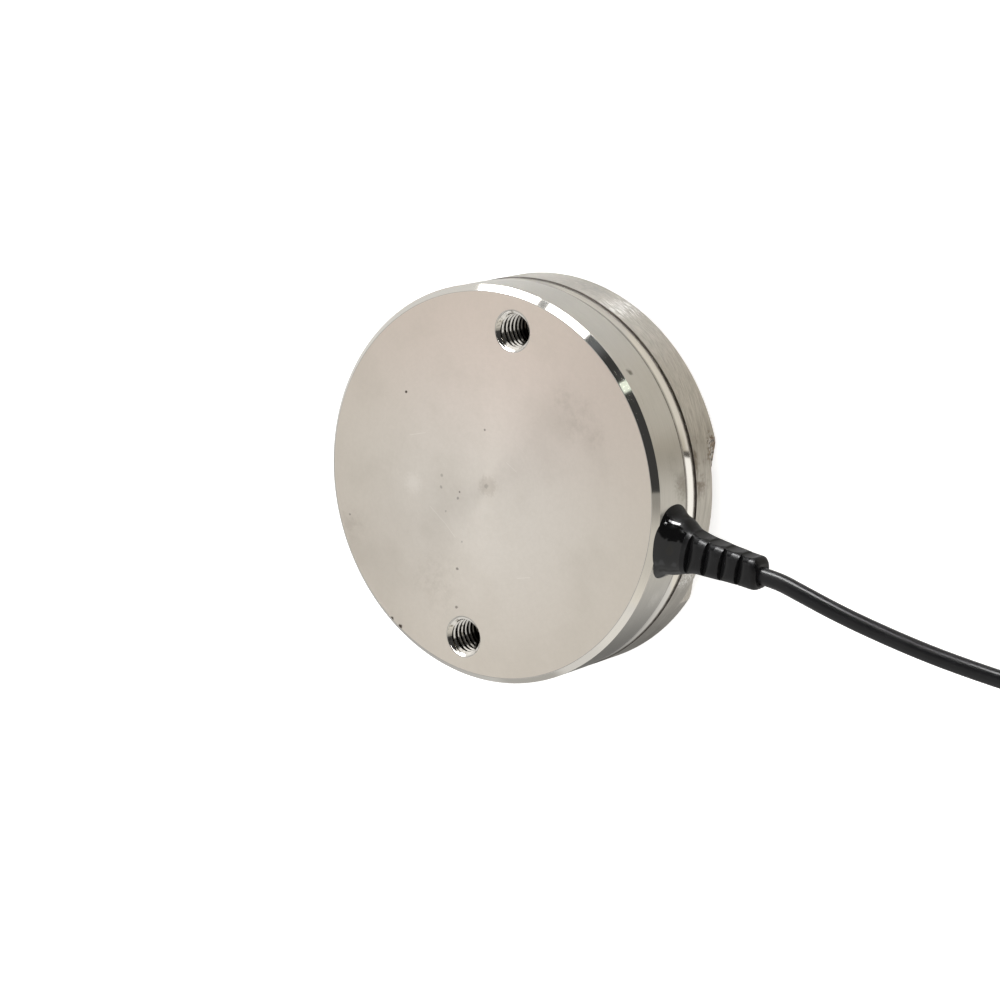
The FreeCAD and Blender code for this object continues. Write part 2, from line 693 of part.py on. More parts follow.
# Coil of the length that is put away: one ring of all its turns, with a straight lead in and out
half_wide = worth("coil_columns * cable_diameter / 2 + coil_skin")
ring_high = worth("coil_layers * cable_diameter + 2 * coil_skin")
ring_low = worth(f"{LAYER} - cable_diameter / 2 - coil_skin")
mean_radius = worth("coil_mean_diameter / 2")
coil_ring = Part.makeCylinder(mean_radius + half_wide, ring_high, coil_centre + Vector(0, 0, ring_low))
coil_hole = Part.makeCylinder(mean_radius - half_wide, ring_high, coil_centre + Vector(0, 0, ring_low))
lead_out_angle = worth("lead_out_angle")
leave = FreeCAD.Rotation(Vector(0, 0, 1), lead_out_angle).multVec(Vector(1, 0, 0))
onward = Vector(-leave.y, leave.x, 0)
lead_out_start = coil_centre + leave * worth(OUTER_TURN) + Vector(0, 0, worth(TOP_LAYER))
lead_out = lead_out_start + onward * worth("coil_lead")
leads = [
    Part.makeCylinder(worth("cable_diameter / 2"), worth("coil_lead"), lead_in, Vector(1, 0, 0)),
    Part.makeCylinder(worth("cable_diameter / 2"), worth("coil_lead"), lead_out_start, onward),
]
shaped("cable_coil", coil_ring.cut(coil_hole).fuse(leads).removeSplitter())

# Strap round the coil
gap = worth("tie_clearance")
thick = worth("tie_thickness")
tie_inner = mean_radius - half_wide - gap
tie_low = ring_low - gap


def strap_section(margin):
    """The upright rectangle round the coil's section, that much larger all round."""
    wide = Vector(2 * (half_wide + gap + margin), 0, 0)
    high = Vector(0, 0, ring_high + 2 * (gap + margin))
    corner = coil_centre + Vector(tie_inner - margin, 0, tie_low - margin)
    sides = [corner, corner + wide, corner + wide + high, corner + high, corner]
    return Part.Face(Part.makePolygon(sides))


strap = strap_section(thick).cut(strap_section(0)).Faces[0]
strap.rotate(coil_centre, Vector(0, 0, 1), worth("tie_place"))
shaped("coil_tie", strap.revolve(coil_centre, Vector(0, 0, 1), worth("tie_angle")))

# Far end: the last stretch slips down beside the coil and ends in a shrink sleeve and bare cores
TAIL_ROUTE = [
    (35.8, -5.0, 11.1),
    (38.9, 3.3, 7.8),
    (38.8, 12.1, 4.2),
    (35.5, 20.3, 2.2),
    (30.0, 27.0, 2.2),
]
tail_points = [lead_out, lead_out + onward * worth("straight_run")]
for x, y, z in TAIL_ROUTE:
    tail_points.append(Vector(coil_centre.x + x, coil_centre.y + y, z))
cord("cable_tail", tail_points)

tail_end = tail_points[-1]
tail_way = (tail_end - tail_points[-2]).normalize()
tail_side = Vector(-tail_way.y, tail_way.x, 0)
sleeve_length = worth("sleeve_length")
shaped("end_sleeve", Part.makeCylinder(worth("sleeve_diameter / 2"), sleeve_length, tail_end, tail_way))
sleeve_end = tail_end + tail_way * sleeve_length


def bare_core(colour, side, height, fan):
    """A core that leaves the sleeve, comes down to the surface and ends in tinned strands."""
    off_centre = worth("core_spacing / 2")
    start = sleeve_end + tail_side * (side * off_centre) + Vector(0, 0, height * off_centre)
    length = worth("tail_length")
    floor = worth("core_diameter / 2")
    straight_end = tail_way * (0.3 * length)
    spread = tail_side * worth("tail_spread") * fan
    end = sleeve_end + tail_way * length + spread
    end.z = floor + worth("end_rise")
    landing = end - straight_end - spread * 0.2
    landing.z = floor
    points = [start, start + straight_end, landing, end]
    insulated = tube(points, worth("core_diameter"))
    last_way = points[-1] - points[-2]
    tinned = Part.makeCylinder(worth("tinned_diameter / 2"), worth("tinned_length"), points[-1], last_way)
    return shaped("tail_" + colour, insulated.fuse(tinned).removeSplitter())


for fan, (colour, side, height) in zip((-1.5, -0.5, 0.5, 1.5), CORES):
    bare_core(colour, side, height, fan)

# Everything has to be sound before anything is written
doc.recompute()
for thing in doc.Objects:
    if "Invalid" in thing.State or "Error" in thing.State:
        raise RuntimeError(thing.Label + " failed to compute")
for thing in parts:
    if thing.Shape.isNull() or not thing.Shape.isValid():
        raise RuntimeError(thing.Label + " has no sound shape")

os.makedirs("parts", exist_ok=True)
for thing in parts:
    thing.Shape.exportStep(os.path.join("parts", thing.Label + ".step"))
print(len(parts), "parts written")
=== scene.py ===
"""Looks of the compression load cell: steel body, tapped holes, gauge bridge, moulded boot and cable.

Metres, +Z up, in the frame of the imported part. The cell lies on its load button with the mounting face up.
"""
import json
import math

import bmesh
import bpy
from mathutils import Matrix, Vector


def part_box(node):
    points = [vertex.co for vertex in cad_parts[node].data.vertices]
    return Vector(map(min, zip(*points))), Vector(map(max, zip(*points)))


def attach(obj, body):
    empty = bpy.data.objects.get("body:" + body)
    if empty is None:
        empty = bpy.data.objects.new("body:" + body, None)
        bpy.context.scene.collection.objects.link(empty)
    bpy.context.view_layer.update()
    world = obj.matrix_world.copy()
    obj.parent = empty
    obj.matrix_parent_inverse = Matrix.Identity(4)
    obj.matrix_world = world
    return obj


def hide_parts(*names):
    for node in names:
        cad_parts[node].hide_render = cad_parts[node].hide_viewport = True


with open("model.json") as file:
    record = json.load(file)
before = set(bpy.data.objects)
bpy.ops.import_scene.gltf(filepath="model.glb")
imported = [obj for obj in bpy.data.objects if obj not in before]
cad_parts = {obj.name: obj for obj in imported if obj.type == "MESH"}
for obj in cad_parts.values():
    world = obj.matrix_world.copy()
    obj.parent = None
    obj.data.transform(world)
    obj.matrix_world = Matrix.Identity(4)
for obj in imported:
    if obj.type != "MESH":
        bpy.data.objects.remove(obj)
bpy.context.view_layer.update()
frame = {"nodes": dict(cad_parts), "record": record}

# Base housing
# The half of the body with the mounting face: a cup turned from stainless bar, its face ground flat, its rim
# chamfer and the relief groove beside the seam polished. The spring element closes it from behind.

base_low, base_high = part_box("base_housing")
wall = base_high.x
face_level = base_high.z
seam_level = base_low.z
bolts = next(mount for mount in frame["record"]["mounts"] if mount["name"] == "mounting_bolts")
hole_offset = bolts["dims"]["spacing_y_mm"] / 2000
thread_radius = bolts["dims"]["hole_r_mm"] / 1000
cable_axis = (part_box("cable_entry")[0].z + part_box("cable_entry")[1].z) / 2

face_chamfer = 0.0012
edge_round = 0.0001
rim_flat = 0.0005
seam_gap = 0.0004
seam_depth = 0.0008
groove_depth = 0.00055
groove_corner = 0.00062
groove_sweep = 22
groove_low = seam_level + seam_gap
groove_bend = groove_depth / (1 - math.cos(math.radians(groove_sweep)))
groove_bottom = groove_low + groove_bend * math.sin(math.radians(groove_sweep))
groove_edge = 180 - math.degrees(math.acos(1 - groove_depth / groove_corner))
groove_high = groove_bottom + groove_corner * math.sin(math.radians(groove_edge))
cavity_radius = 0.025
cavity_depth = 0.010
cavity_roof = seam_level + cavity_depth
countersink = 0.00015
hole_mouth = thread_radius + countersink
hole_depth = 0.0105
drill_half_angle = math.radians(59)
drill_point = thread_radius / math.tan(drill_half_angle)
stem_bore = 0.00305
stem_seat = 0.0305
cable_bore = 0.00175
bore_start = cavity_radius * 0.9
bore_end = wall * 1.1
body_steps = 192
hole_steps = 72
bore_steps = 48


def drawn(bm, corners, closed=False):
    """The corners of a section, given as (radius, height), joined by edges."""
    points = [bm.verts.new((radius, 0, height)) for radius, height in corners]
    following = points[1:] + points[:1] if closed else points[1:]
    for start, end in zip(points, following):
        bm.edges.new((start, end))
    return points


def turned(corners, rounding, steps, crisp=()):
    """A bmesh turned round Z from (radius, height) corners, with its sharp corners rounded.

    The corners at the crisp places get a fifth of the rounding.
    """
    bm = bmesh.new()
    points = drawn(bm, corners)
    fine = [points[place] for place in crisp]
    smooth_angle = math.radians(20)
    bent = [point for point in points[1:-1] if point.calc_edge_angle() > smooth_angle]
    sharp = [point for point in bent if point not in fine]
    for chosen, size in ((sharp, rounding), (fine, rounding / 5)):
        bmesh.ops.bevel(bm, geom=chosen, offset=size, segments=3, profile=0.5, affect="VERTICES", material=-1)
    bmesh.ops.spin(bm, geom=bm.verts[:] + bm.edges[:], axis=(0, 0, 1), angle=math.tau, steps=steps,
                   use_merge=True)
    bmesh.ops.remove_doubles(bm, verts=bm.verts, dist=1e-6)
    bmesh.ops.recalc_face_normals(bm, faces=bm.faces)
    return bm


def arc(centre_radius, centre_height, radius, start, end, count):
    """Corners along an arc between two angles, in degrees."""
    corners = []
    for i in range(count + 1):
        angle = math.radians(start + (end - start) * i / count)
        corners.append((centre_radius + radius * math.cos(angle), centre_height + radius * math.sin(angle)))
    return corners


def mesh_of(name, bm):
    """A mesh made from a bmesh, which is freed."""
    mesh = bpy.data.meshes.new(name)
    bm.to_mesh(mesh)
    bm.free()
    return mesh


def placed(name, data):
    """An object of the scene, made from its mesh, curve, camera or lamp."""
    made = bpy.data.objects.new(name, data)
    bpy.context.collection.objects.link(made)
    return made


def join(bm, other):
    """Move another bmesh's geometry into this one."""
    carrier = mesh_of("joined", other)
    bm.from_mesh(carrier)
    bpy.data.meshes.remove(carrier)


def piece(name, bm, materials, nodes=()):
    """Make a bmesh an object that rides on the part's one body and stands for the named nodes."""
    mesh = mesh_of(name, bm)
    for material in materials:
        mesh.materials.append(material)
    made = placed(name, mesh)
    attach(made, "root")
    if nodes:
        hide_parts(*nodes)
    return made


def carve(made, cutter):
    """Cut a closed bmesh out of a piece for good."""
    mesh = mesh_of("cutter", cutter)
    tool = placed("cutter", mesh)
    cut = made.modifiers.new("cut", "BOOLEAN")
    cut.object = tool
    cut.solver = "EXACT"
    whole = made.data
    made.data = bpy.data.meshes.new_from_object(made.evaluated_get(bpy.context.evaluated_depsgraph_get()))
    made.modifiers.remove(cut)
    bpy.data.objects.remove(tool)
    bpy.data.meshes.remove(mesh)
    bpy.data.meshes.remove(whole)


def shade(made, crease):
    """Smooth shading that stays flat on flats and breaks at edges sharper than the crease, in degrees."""
    made.data.shade_smooth()
    made.data.set_sharp_from_angle(angle=math.radians(crease))
    flats = made.modifiers.new("flats", "WEIGHTED_NORMAL")
    flats.keep_sharp = True
    return made


def new_material(name):
    """A material's node tree and its Principled shader."""
    material = bpy.data.materials.new(name)
    material.use_nodes = True
    return material, material.node_tree, material.node_tree.nodes["Principled BSDF"]


def add(tree, kind, inputs=(), **settings):
    """A shader node with its settings, and each input set to a value or linked to an output."""
    made = tree.nodes.new("ShaderNode" + kind)
    for name, setting in settings.items():
        setattr(made, name, setting)
    for key, value in dict(inputs).items():
        if isinstance(value, bpy.types.NodeSocket):
            tree.links.new(value, made.inputs[key])
        else:
            made.inputs[key].default_value = value
    return made


def maths(tree, operation, first, second=0.0):
    """A Math node's result."""
    return add(tree, "Math", {0: first, 1: second}, operation=operation).outputs[0]


def vectors(tree, operation, first, second=(0.0, 0.0, 0.0)):
    """A Vector Math node's outputs, Vector and Value."""
    return add(tree, "VectorMath", {0: first, 1: second}, operation=operation).outputs


def combine(tree, *axes):
    """A vector from its X, Y and Z, or from the first of them."""
    return add(tree, "CombineXYZ", enumerate(axes)).outputs[0]


def split(tree, vector):
    """A vector's X, Y and Z."""
    return add(tree, "SeparateXYZ", {0: vector}).outputs


def position(tree):
    """Where a point of the surface lies, in metres."""
    return add(tree, "TexCoord").outputs["Object"]


def raised(tree, level, mask, amount):
    """A level, and an amount more where the mask is full."""
    return maths(tree, "ADD", level, maths(tree, "MULTIPLY", mask, amount))


def remap(tree, value, low, high, to_low=0.0, to_high=1.0):
    """A value taken smoothly from one range to another."""
    ranges = {0: value, 1: low, 2: high, 3: to_low, 4: to_high}
    return add(tree, "MapRange", ranges, interpolation_type="SMOOTHSTEP").outputs[0]


def tint(tree, amount, first, second):
    """A colour between two, by a mask."""
    return add(tree, "Mix", {0: amount, 6: first, 7: second}, data_type="RGBA").outputs[2]


def stained(tree, colour, mask, amount, overlay):
    """A colour with an amount of another over it where the mask is full."""
    return tint(tree, maths(tree, "MULTIPLY", mask, amount), colour, overlay)


def noise(tree, scale, detail, where, roughness=0.5):
    """Soft noise from 0 to 1."""
    inputs = {"Vector": where, "Scale": scale, "Detail": detail, "Roughness": roughness}
    return add(tree, "TexNoise", inputs).outputs["Fac"]


def bump(tree, height, strength, distance):
    """A normal from a height."""
    return add(tree, "Bump", {"Height": height, "Strength": strength, "Distance": distance}).outputs["Normal"]


def feed(tree, shader, colour, rough, normal=None, **even):
    """Link what varies over a finish to its shader, and set what is even all over."""
    for label, output in (("Base Color", colour), ("Roughness", rough), ("Normal", normal)):
        if output is not None:
            tree.links.new(output, shader.inputs[label])
    for label, value in even.items():
        shader.inputs[label.replace("_", " ")].default_value = value


def group(name, inputs, outputs):
    """An empty node group with value inputs and their usual values, and value outputs."""
    tree = bpy.data.node_groups.new(name, "ShaderNodeTree")
    for label, usual in inputs.items():
        socket = tree.interface.new_socket(label, in_out="INPUT", socket_type="NodeSocketFloat")
        socket.default_value = usual
    for label in outputs:
        tree.interface.new_socket(label, in_out="OUTPUT", socket_type="NodeSocketFloat")
    return tree, tree.nodes.new("NodeGroupInput").outputs, tree.nodes.new("NodeGroupOutput").inputs


def use(tree, effect, **inputs):
    """A node group placed in a material with its own values."""
    made = tree.nodes.new("ShaderNodeGroup")
    made.node_tree = effect
    for label, value in inputs.items():
        made.inputs[label.replace("_", " ")].default_value = value
    return made.outputs


def opaque(red, green, blue):
    """A colour with its alpha."""
    return (red, green, blue, 1.0)


def lathe_marks_group():
    """Fine lines that run round the Z axis, as a cutting or grinding tool leaves them."""
    usual = {"Fineness": 2500.0, "Drift": 6.0}
    tree, given, result = group("lathe marks", usual, ["Lines", "Radius", "Height"])
    where = position(tree)
    axes = split(tree, where)
    radius = vectors(tree, "LENGTH", combine(tree, axes["X"], axes["Y"]))["Value"]
    along = add(tree, "VectorMath", {0: where, "Scale": given["Drift"]}, operation="SCALE").outputs[0]
    across = combine(tree, maths(tree, "MULTIPLY", radius, given["Fineness"]),
                     maths(tree, "MULTIPLY", axes["Z"], given["Fineness"]))
    both = vectors(tree, "ADD", across, along)["Vector"]
    tree.links.new(noise(tree, 1.0, 3.0, both, 0.65), result["Lines"])
    tree.links.new(radius, result["Radius"])
    tree.links.new(axes["Z"], result["Height"])
    return tree


def handling_group():
    """Soft blotches of handling and cleaning."""
    tree, given, result = group("handling", {"Blotch size": 90.0}, ["Blotches"])
    blotches = noise(tree, given["Blotch size"], 4.0, position(tree), 0.6)
    tree.links.new(remap(tree, blotches, 0.42, 0.68), result["Blotches"])
    return tree


def spot_group():
    """A soft-edged, ragged mark round a place on the surface."""
    usual = {"Place X": 0.0, "Place Y": 0.0, "Place Z": 0.0, "Size": 0.001, "Soft": 0.5}
    tree, given, result = group("spot", usual, ["Mark"])
    where = position(tree)
    place = combine(tree, given["Place X"], given["Place Y"], given["Place Z"])
    away = vectors(tree, "DISTANCE", where, place)["Value"]
    uneven = maths(tree, "SUBTRACT", noise(tree, 1800.0, 3.0, where), 0.5)
    ragged = raised(tree, away, uneven, given["Size"])
    inner = maths(tree, "MULTIPLY", given["Size"], maths(tree, "SUBTRACT", 1.0, given["Soft"]))
    tree.links.new(remap(tree, ragged, given["Size"], inner), result["Mark"])
    return tree


def scratch_group():
    """A fine straight scratch between two places on the mounting face."""
    usual = {"From X": 0.0, "From Y": 0.0, "To X": 0.0, "To Y": 0.001, "Width": 0.0001}
    tree, given, result = group("face scratch", usual, ["Mark"])
    axes = split(tree, position(tree))
    start = combine(tree, given["From X"], given["From Y"])
    end = combine(tree, given["To X"], given["To Y"])
    run = vectors(tree, "SUBTRACT", end, start)["Vector"]
    reach = vectors(tree, "SUBTRACT", combine(tree, axes["X"], axes["Y"]), start)["Vector"]
    dot = vectors(tree, "DOT_PRODUCT", reach, run)["Value"]
    square = vectors(tree, "DOT_PRODUCT", run, run)["Value"]
    share = add(tree, "Clamp", {0: maths(tree, "DIVIDE", dot, square)}).outputs[0]
    nearest = add(tree, "VectorMath", {0: run, "Scale": share}, operation="SCALE").outputs[0]
    away = vectors(tree, "DISTANCE", reach, nearest)["Value"]
    tree.links.new(remap(tree, away, given["Width"], 0.0), result["Mark"])
    return tree


lathe_marks = lathe_marks_group()
handling = handling_group()
spot = spot_group()
scratch = scratch_group()

# Marks on the mounting face, in metres: a pit's place, size and darkness, the place and size of a stain
# (the last one a darker patch), of the dull centre and of a pale smear, and a scratch's two ends
PITS = [(-0.0230, 0.0128, 0.00036, 0.95), (-0.0028, 0.0109, 0.0003, 0.6), (-0.0113, -0.0012, 0.0004, 0.3),
        (-0.0110, -0.0036, 0.0004, 0.35), (-0.0064, -0.0032, 0.0003, 0.7), (-0.0066, -0.0046, 0.0004, 0.5),
        (-0.0041, -0.0188, 0.00042, 0.6), (-0.0028, -0.0266, 0.0004, 0.6), (-0.0090, -0.0081, 0.0003, 0.3),
        (-0.0040, -0.0130, 0.00025, 0.35), (-0.0324, -0.0162, 0.0003, 0.5), (-0.0003, -0.0001, 0.0006, 0.25),
        (-0.0180, -0.0342, 0.00055, 0.95), (-0.0157, -0.0352, 0.0006, 1.0)]
STAINS_AND_DARK_PATCH = [(0.0182, 0.0197, 0.0065), (0.0220, 0.0170, 0.0048), (0.0144, 0.0226, 0.0045),
          (-0.0315, -0.0183, 0.0050), (-0.0085, -0.0230, 0.0080)]
DULL_CENTRE = (0.0, 0.0, 0.0027)
PALE_SMEAR = (-0.0180, -0.0049, 0.0030)
SCRATCHES = [(-0.0130, -0.0083, -0.0085, -0.0107), (-0.0085, -0.0107, -0.0058, -0.0126),
             (0.0035, 0.0060, 0.0062, 0.0049), (-0.0205, 0.0045, -0.0168, 0.0061),
             (0.0105, -0.0160, 0.0133, -0.0149)]
scratch_width = 0.00016
polish = opaque(0.70, 0.68, 0.64)
polish_lines = opaque(0.60, 0.58, 0.54)


def mark_at(tree, place, size, soft):
    """A spot's mask round a place."""
    x, y, z = place
    return use(tree, spot, Place_X=x, Place_Y=y, Place_Z=z, Size=size, Soft=soft)["Mark"]


def face_mark(tree, x, y, size, soft):
    """A spot's mask on the mounting face."""
    return mark_at(tree, (x, y, face_level), size, soft)


def scratch_mark(tree, x, y, to_x, to_y):
    """A scratch's mask on the mounting face."""
    return use(tree, scratch, From_X=x, From_Y=y, To_X=to_x, To_Y=to_y, Width=scratch_width)["Mark"]


def strongest(tree, marks):
    """The largest of several masks at each place."""
    result = marks[0]
    for mark in marks[1:]:
        result = maths(tree, "MAXIMUM", result, mark)
    return result


def ground_face_steel():
    """Ground stainless face: fine rings, a painted pinkish reflection towards +Y, stains, pits and a dull
    centre.
    """
    material, tree, shader = new_material("ground face steel")
    where = position(tree)
    marks = use(tree, lathe_marks, Fineness=5200.0, Drift=14.0)
    blotches = use(tree, handling, Blotch_size=70.0)["Blotches"]
    pits = strongest(tree, [maths(tree, "MULTIPLY", face_mark(tree, x, y, size, soft=0.5), dark)
                            for x, y, size, dark in PITS])
    stains = strongest(tree, [face_mark(tree, *stain, soft=0.95) for stain in STAINS_AND_DARK_PATCH])
    centre = face_mark(tree, *DULL_CENTRE, soft=0.55)
    smear = face_mark(tree, *PALE_SMEAR, soft=0.9)
    rubbed = maths(tree, "MAXIMUM", smear, strongest(tree, [scratch_mark(tree, *ends) for ends in SCRATCHES]))
    # Darker towards the rim
    darker_towards_rim = remap(tree, marks["Radius"], 0.008, 0.042)
    cloudy = maths(tree, "MULTIPLY", stains, remap(tree, noise(tree, 480.0, 5.0, where, 0.65), 0.38, 0.64))
    grain = remap(tree, noise(tree, 1500.0, 3.0, where, 0.6), 0.35, 0.65)
    # Painted reflection: the face turns pinker towards +Y
    painted_rosy_reflection = remap(tree, split(tree, where)["Y"], -0.005, 0.038)
    colour = tint(tree, painted_rosy_reflection, opaque(0.713, 0.672, 0.62), opaque(0.745, 0.64, 0.59))
    # Each layer lies over the one before: its mask, how much of it shows, and its colour
    layers = [(darker_towards_rim, 0.47, opaque(0.54, 0.485, 0.41)),
              (marks["Lines"], 0.2, opaque(0.54, 0.49, 0.43)),
              (blotches, 0.2, opaque(0.52, 0.48, 0.42)),
              (cloudy, 0.26, opaque(0.40, 0.36, 0.31)),
              (grain, 0.07, opaque(0.46, 0.42, 0.36)),
              (rubbed, 0.35, opaque(0.84, 0.80, 0.75)),
              (centre, 0.3, opaque(0.42, 0.37, 0.32)),
              (pits, 1.0, opaque(0.07, 0.055, 0.045))]
    for mask, amount, overlay in layers:
        colour = stained(tree, colour, mask, amount, overlay)
    rough = raised(tree, 0.33, blotches, 0.05)
    rough = raised(tree, rough, maths(tree, "MAXIMUM", stains, centre), 0.06)
    height = maths(tree, "SUBTRACT", maths(tree, "MULTIPLY", marks["Lines"], 0.2), pits)
    outward = vectors(tree, "MULTIPLY", where, (1.0, 1.0, 0.0))["Vector"]
    tree.links.new(vectors(tree, "NORMALIZE", outward)["Vector"], shader.inputs["Tangent"])
    feed(tree, shader, colour, rough, bump(tree, height, 0.25, 0.00008), Metallic=1.0, Anisotropic=0.72)
    return material


def polished_steel():
    """Polished chamfer and countersinks."""
    material, tree, shader = new_material("polished steel")
    lines = use(tree, lathe_marks, Fineness=9000.0, Drift=30.0)["Lines"]
    colour = tint(tree, lines, polish, polish_lines)
    feed(tree, shader, colour, raised(tree, 0.045, lines, 0.04), Metallic=1.0)
    return material


def turned_band_steel(name, light, dark, rough, fineness, drift, relief, dirt=()):
    """Turned or brushed outer band, with lines that run round it; a larger drift makes them shorter.

    Dirt is a list of spots: place, size, softness, strength, fineness of its grain and colour. Some spots are
    painted shade, sheen and glints rather than dirt. A fineness of nought makes the spot follow the lines, as
    a scuff along them does.
    """
    material, tree, shader = new_material(name)
    where = position(tree)
    lines = use(tree, lathe_marks, Fineness=fineness, Drift=drift)["Lines"]
    blotches = use(tree, handling, Blotch_size=120.0)["Blotches"]
    colour = tint(tree, remap(tree, lines, 0.3, 0.7), dark, light)
    colour = stained(tree, colour, blotches, 0.25, dark)
    # Spots of dirt and of painted shade, sheen and glints, laid over the colour
    for place, size, soft, strength, fine, overlay in dirt:
        grain = noise(tree, fine, 3.0, where) if fine else lines
        broken = remap(tree, grain, 0.45, 0.62, 0.0, strength)
        colour = stained(tree, colour, mark_at(tree, place, size, soft), broken, overlay)
    tree.links.new(combine(tree, 0.0, 0.0, 1.0), shader.inputs["Tangent"])
    feed(tree, shader, colour, raised(tree, rough, lines, 0.12), bump(tree, lines, relief, 0.00006),
         Metallic=1.0, Anisotropic=0.6)
    return material


def groove_steel():
    """Polished groove with brown dirt and painted shade along its upper corner and by the seam, where no
    cloth reaches.
    """
    material, tree, shader = new_material("groove steel")
    marks = use(tree, lathe_marks, Fineness=9000.0, Drift=30.0)
    patchiness = noise(tree, 600.0, 3.0, position(tree), 0.6)
    upper = remap(tree, marks["Height"], groove_bottom - 0.0011, groove_bottom - 0.0002)
    lower = remap(tree, marks["Height"], groove_low + 0.0007, groove_low + 0.0002)
    corners = maths(tree, "MAXIMUM", maths(tree, "MULTIPLY", upper, 0.85), lower)
    dirt_and_shade = maths(tree, "MULTIPLY", corners, remap(tree, patchiness, 0.25, 0.6, 0.8, 1.0))
    colour = tint(tree, marks["Lines"], polish, polish_lines)
    # Painted shade and brown dirt darken the groove's corners
    colour = tint(tree, dirt_and_shade, colour, opaque(0.06, 0.05, 0.04))
    feed(tree, shader, colour, raised(tree, 0.07, dirt_and_shade, 0.35), Metallic=1.0)
    return material


def seam_dirt():
    """Brown dirt and dried oil packed into the seam."""
    material, tree, shader = new_material("seam dirt")
    patchiness = noise(tree, 900.0, 4.0, position(tree), 0.6)
    colour = tint(tree, remap(tree, patchiness, 0.35, 0.7), opaque(0.075, 0.06, 0.046), opaque(0.028, 0.022, 0.017))
    feed(tree, shader, colour, raised(tree, 0.5, patchiness, 0.2))
    return material


face_steel = ground_face_steel()
seam_soil = seam_dirt()
bright_steel = polished_steel()
# Front band: a small dark spot below the chamfer, two dark patches of painted shade from the boot and two
# pale patches of painted sheen, just above the groove
FRONT_SPOTS_AND_PAINTED_LIGHT = [((0.0257, 0.0306, 0.0214), 0.0011, 0.8, 1.0, 500.0, opaque(0.16, 0.15, 0.13)),
              ((0.0372, 0.0147, 0.0158), 0.0060, 0.9, 0.85, 60.0, opaque(0.26, 0.24, 0.21)),
              ((0.0385, 0.0109, 0.0152), 0.0050, 0.9, 0.85, 60.0, opaque(0.26, 0.24, 0.21)),
              ((0.0384, -0.0110, 0.0165), 0.0060, 0.9, 0.8, 60.0, opaque(0.68, 0.66, 0.62)),
              ((0.0353, -0.0188, 0.0165), 0.0070, 0.9, 0.8, 60.0, opaque(0.68, 0.66, 0.62))]
front_steel = turned_band_steel("front band steel", opaque(0.50, 0.485, 0.45), opaque(0.45, 0.435, 0.40),
                                rough=0.24, fineness=7000.0, drift=220.0, relief=0.08, dirt=FRONT_SPOTS_AND_PAINTED_LIGHT)
inner_steel = turned_band_steel("machined steel", opaque(0.46, 0.44, 0.41), opaque(0.34, 0.33, 0.31),
                                rough=0.34, fineness=1600.0, drift=60.0, relief=0.4)
base_finish = [face_steel, bright_steel, front_steel, inner_steel, groove_steel(), seam_soil]
GROUND, BRIGHT, FRONT, INNER, GROOVE, SOILED = range(len(base_finish))

base = turned(
    [(wall - face_chamfer - rim_flat, face_level), (wall - face_chamfer, face_level),
     (wall, face_level - face_chamfer)]
    + arc(wall - groove_depth + groove_corner, groove_bottom, groove_corner, groove_edge, 180, 6)
    + arc(wall - groove_depth + groove_bend, groove_bottom, groove_bend, 180, 180 + groove_sweep, 10)[1:]
    + [(wall - seam_depth, groove_low), (wall - seam_depth, seam_level), (cavity_radius, seam_level),
       (cavity_radius, cavity_roof), (0, cavity_roof)],
    edge_round, body_steps, crisp=[2])
for side in (-1, 1):
    hole = turned([(hole_mouth + rim_flat, face_level), (hole_mouth, face_level),
                   (thread_radius, face_level - countersink), (thread_radius, face_level - hole_depth),
                   (0, face_level - hole_depth - drill_point)], edge_round, hole_steps)
    bmesh.ops.translate(hole, verts=hole.verts, vec=(0, side * hole_offset, 0))
    join(base, hole)
bmesh.ops.triangle_fill(base, edges=[edge for edge in base.edges if edge.is_boundary], use_beauty=True)
bmesh.ops.recalc_face_normals(base, faces=base.faces)
for face in base.faces:
    middle = face.calc_center_median()
    radius = math.hypot(middle.x, middle.y)
    if math.hypot(middle.x, abs(middle.y) - hole_offset) < hole_mouth:
        face.material_index = BRIGHT if middle.z > face_level - countersink else INNER
    elif face.normal.z > 0.999 and middle.z > face_level - edge_round:
        face.material_index = GROUND
    elif middle.z < groove_low + edge_round and radius > wall - seam_depth * 1.1:
        face.material_index = SOILED
    elif radius > wall - face_chamfer and groove_low < middle.z < groove_high:
        face.material_index = GROOVE
    elif radius > wall - face_chamfer and middle.z > face_level - face_chamfer + edge_round:
        face.material_index = BRIGHT
    elif radius > wall - seam_depth / 2:
        face.material_index = FRONT
    else:
        face.material_index = INNER
base_shell = piece("base_shell", base, base_finish, ["base_housing"])
bore = turned([(0, bore_start), (cable_bore, bore_start), (cable_bore, stem_seat), (stem_bore, stem_seat),
               (stem_bore, bore_end), (0, bore_end)], edge_round, bore_steps)
bmesh.ops.rotate(bore, verts=bore.verts, matrix=Matrix.Rotation(math.pi / 2, 3, "Y"))
bmesh.ops.translate(bore, verts=bore.verts, vec=(0, 0, cable_axis))
carve(base_shell, bore)
shade(base_shell, crease=40)

# Threads of the two tapped holes
# M8 x 1.25 cut into the base by a tap: a right-hand ridge of trapezium section on the wall of each hole,
# cut off by the countersink at the mouth. Bright near the mouth; painted shade turns it black further down.

thread_pitch = 0.00125
thread_turns = 8
thread_steps = 48
crest_radius = thread_radius - 0.54 * thread_pitch
root_width = 0.84 * thread_pitch
crest_width = 0.25 * thread_pitch
deep_shade_start = face_level - 0.0045
deep_shade_full = face_level - 0.0085


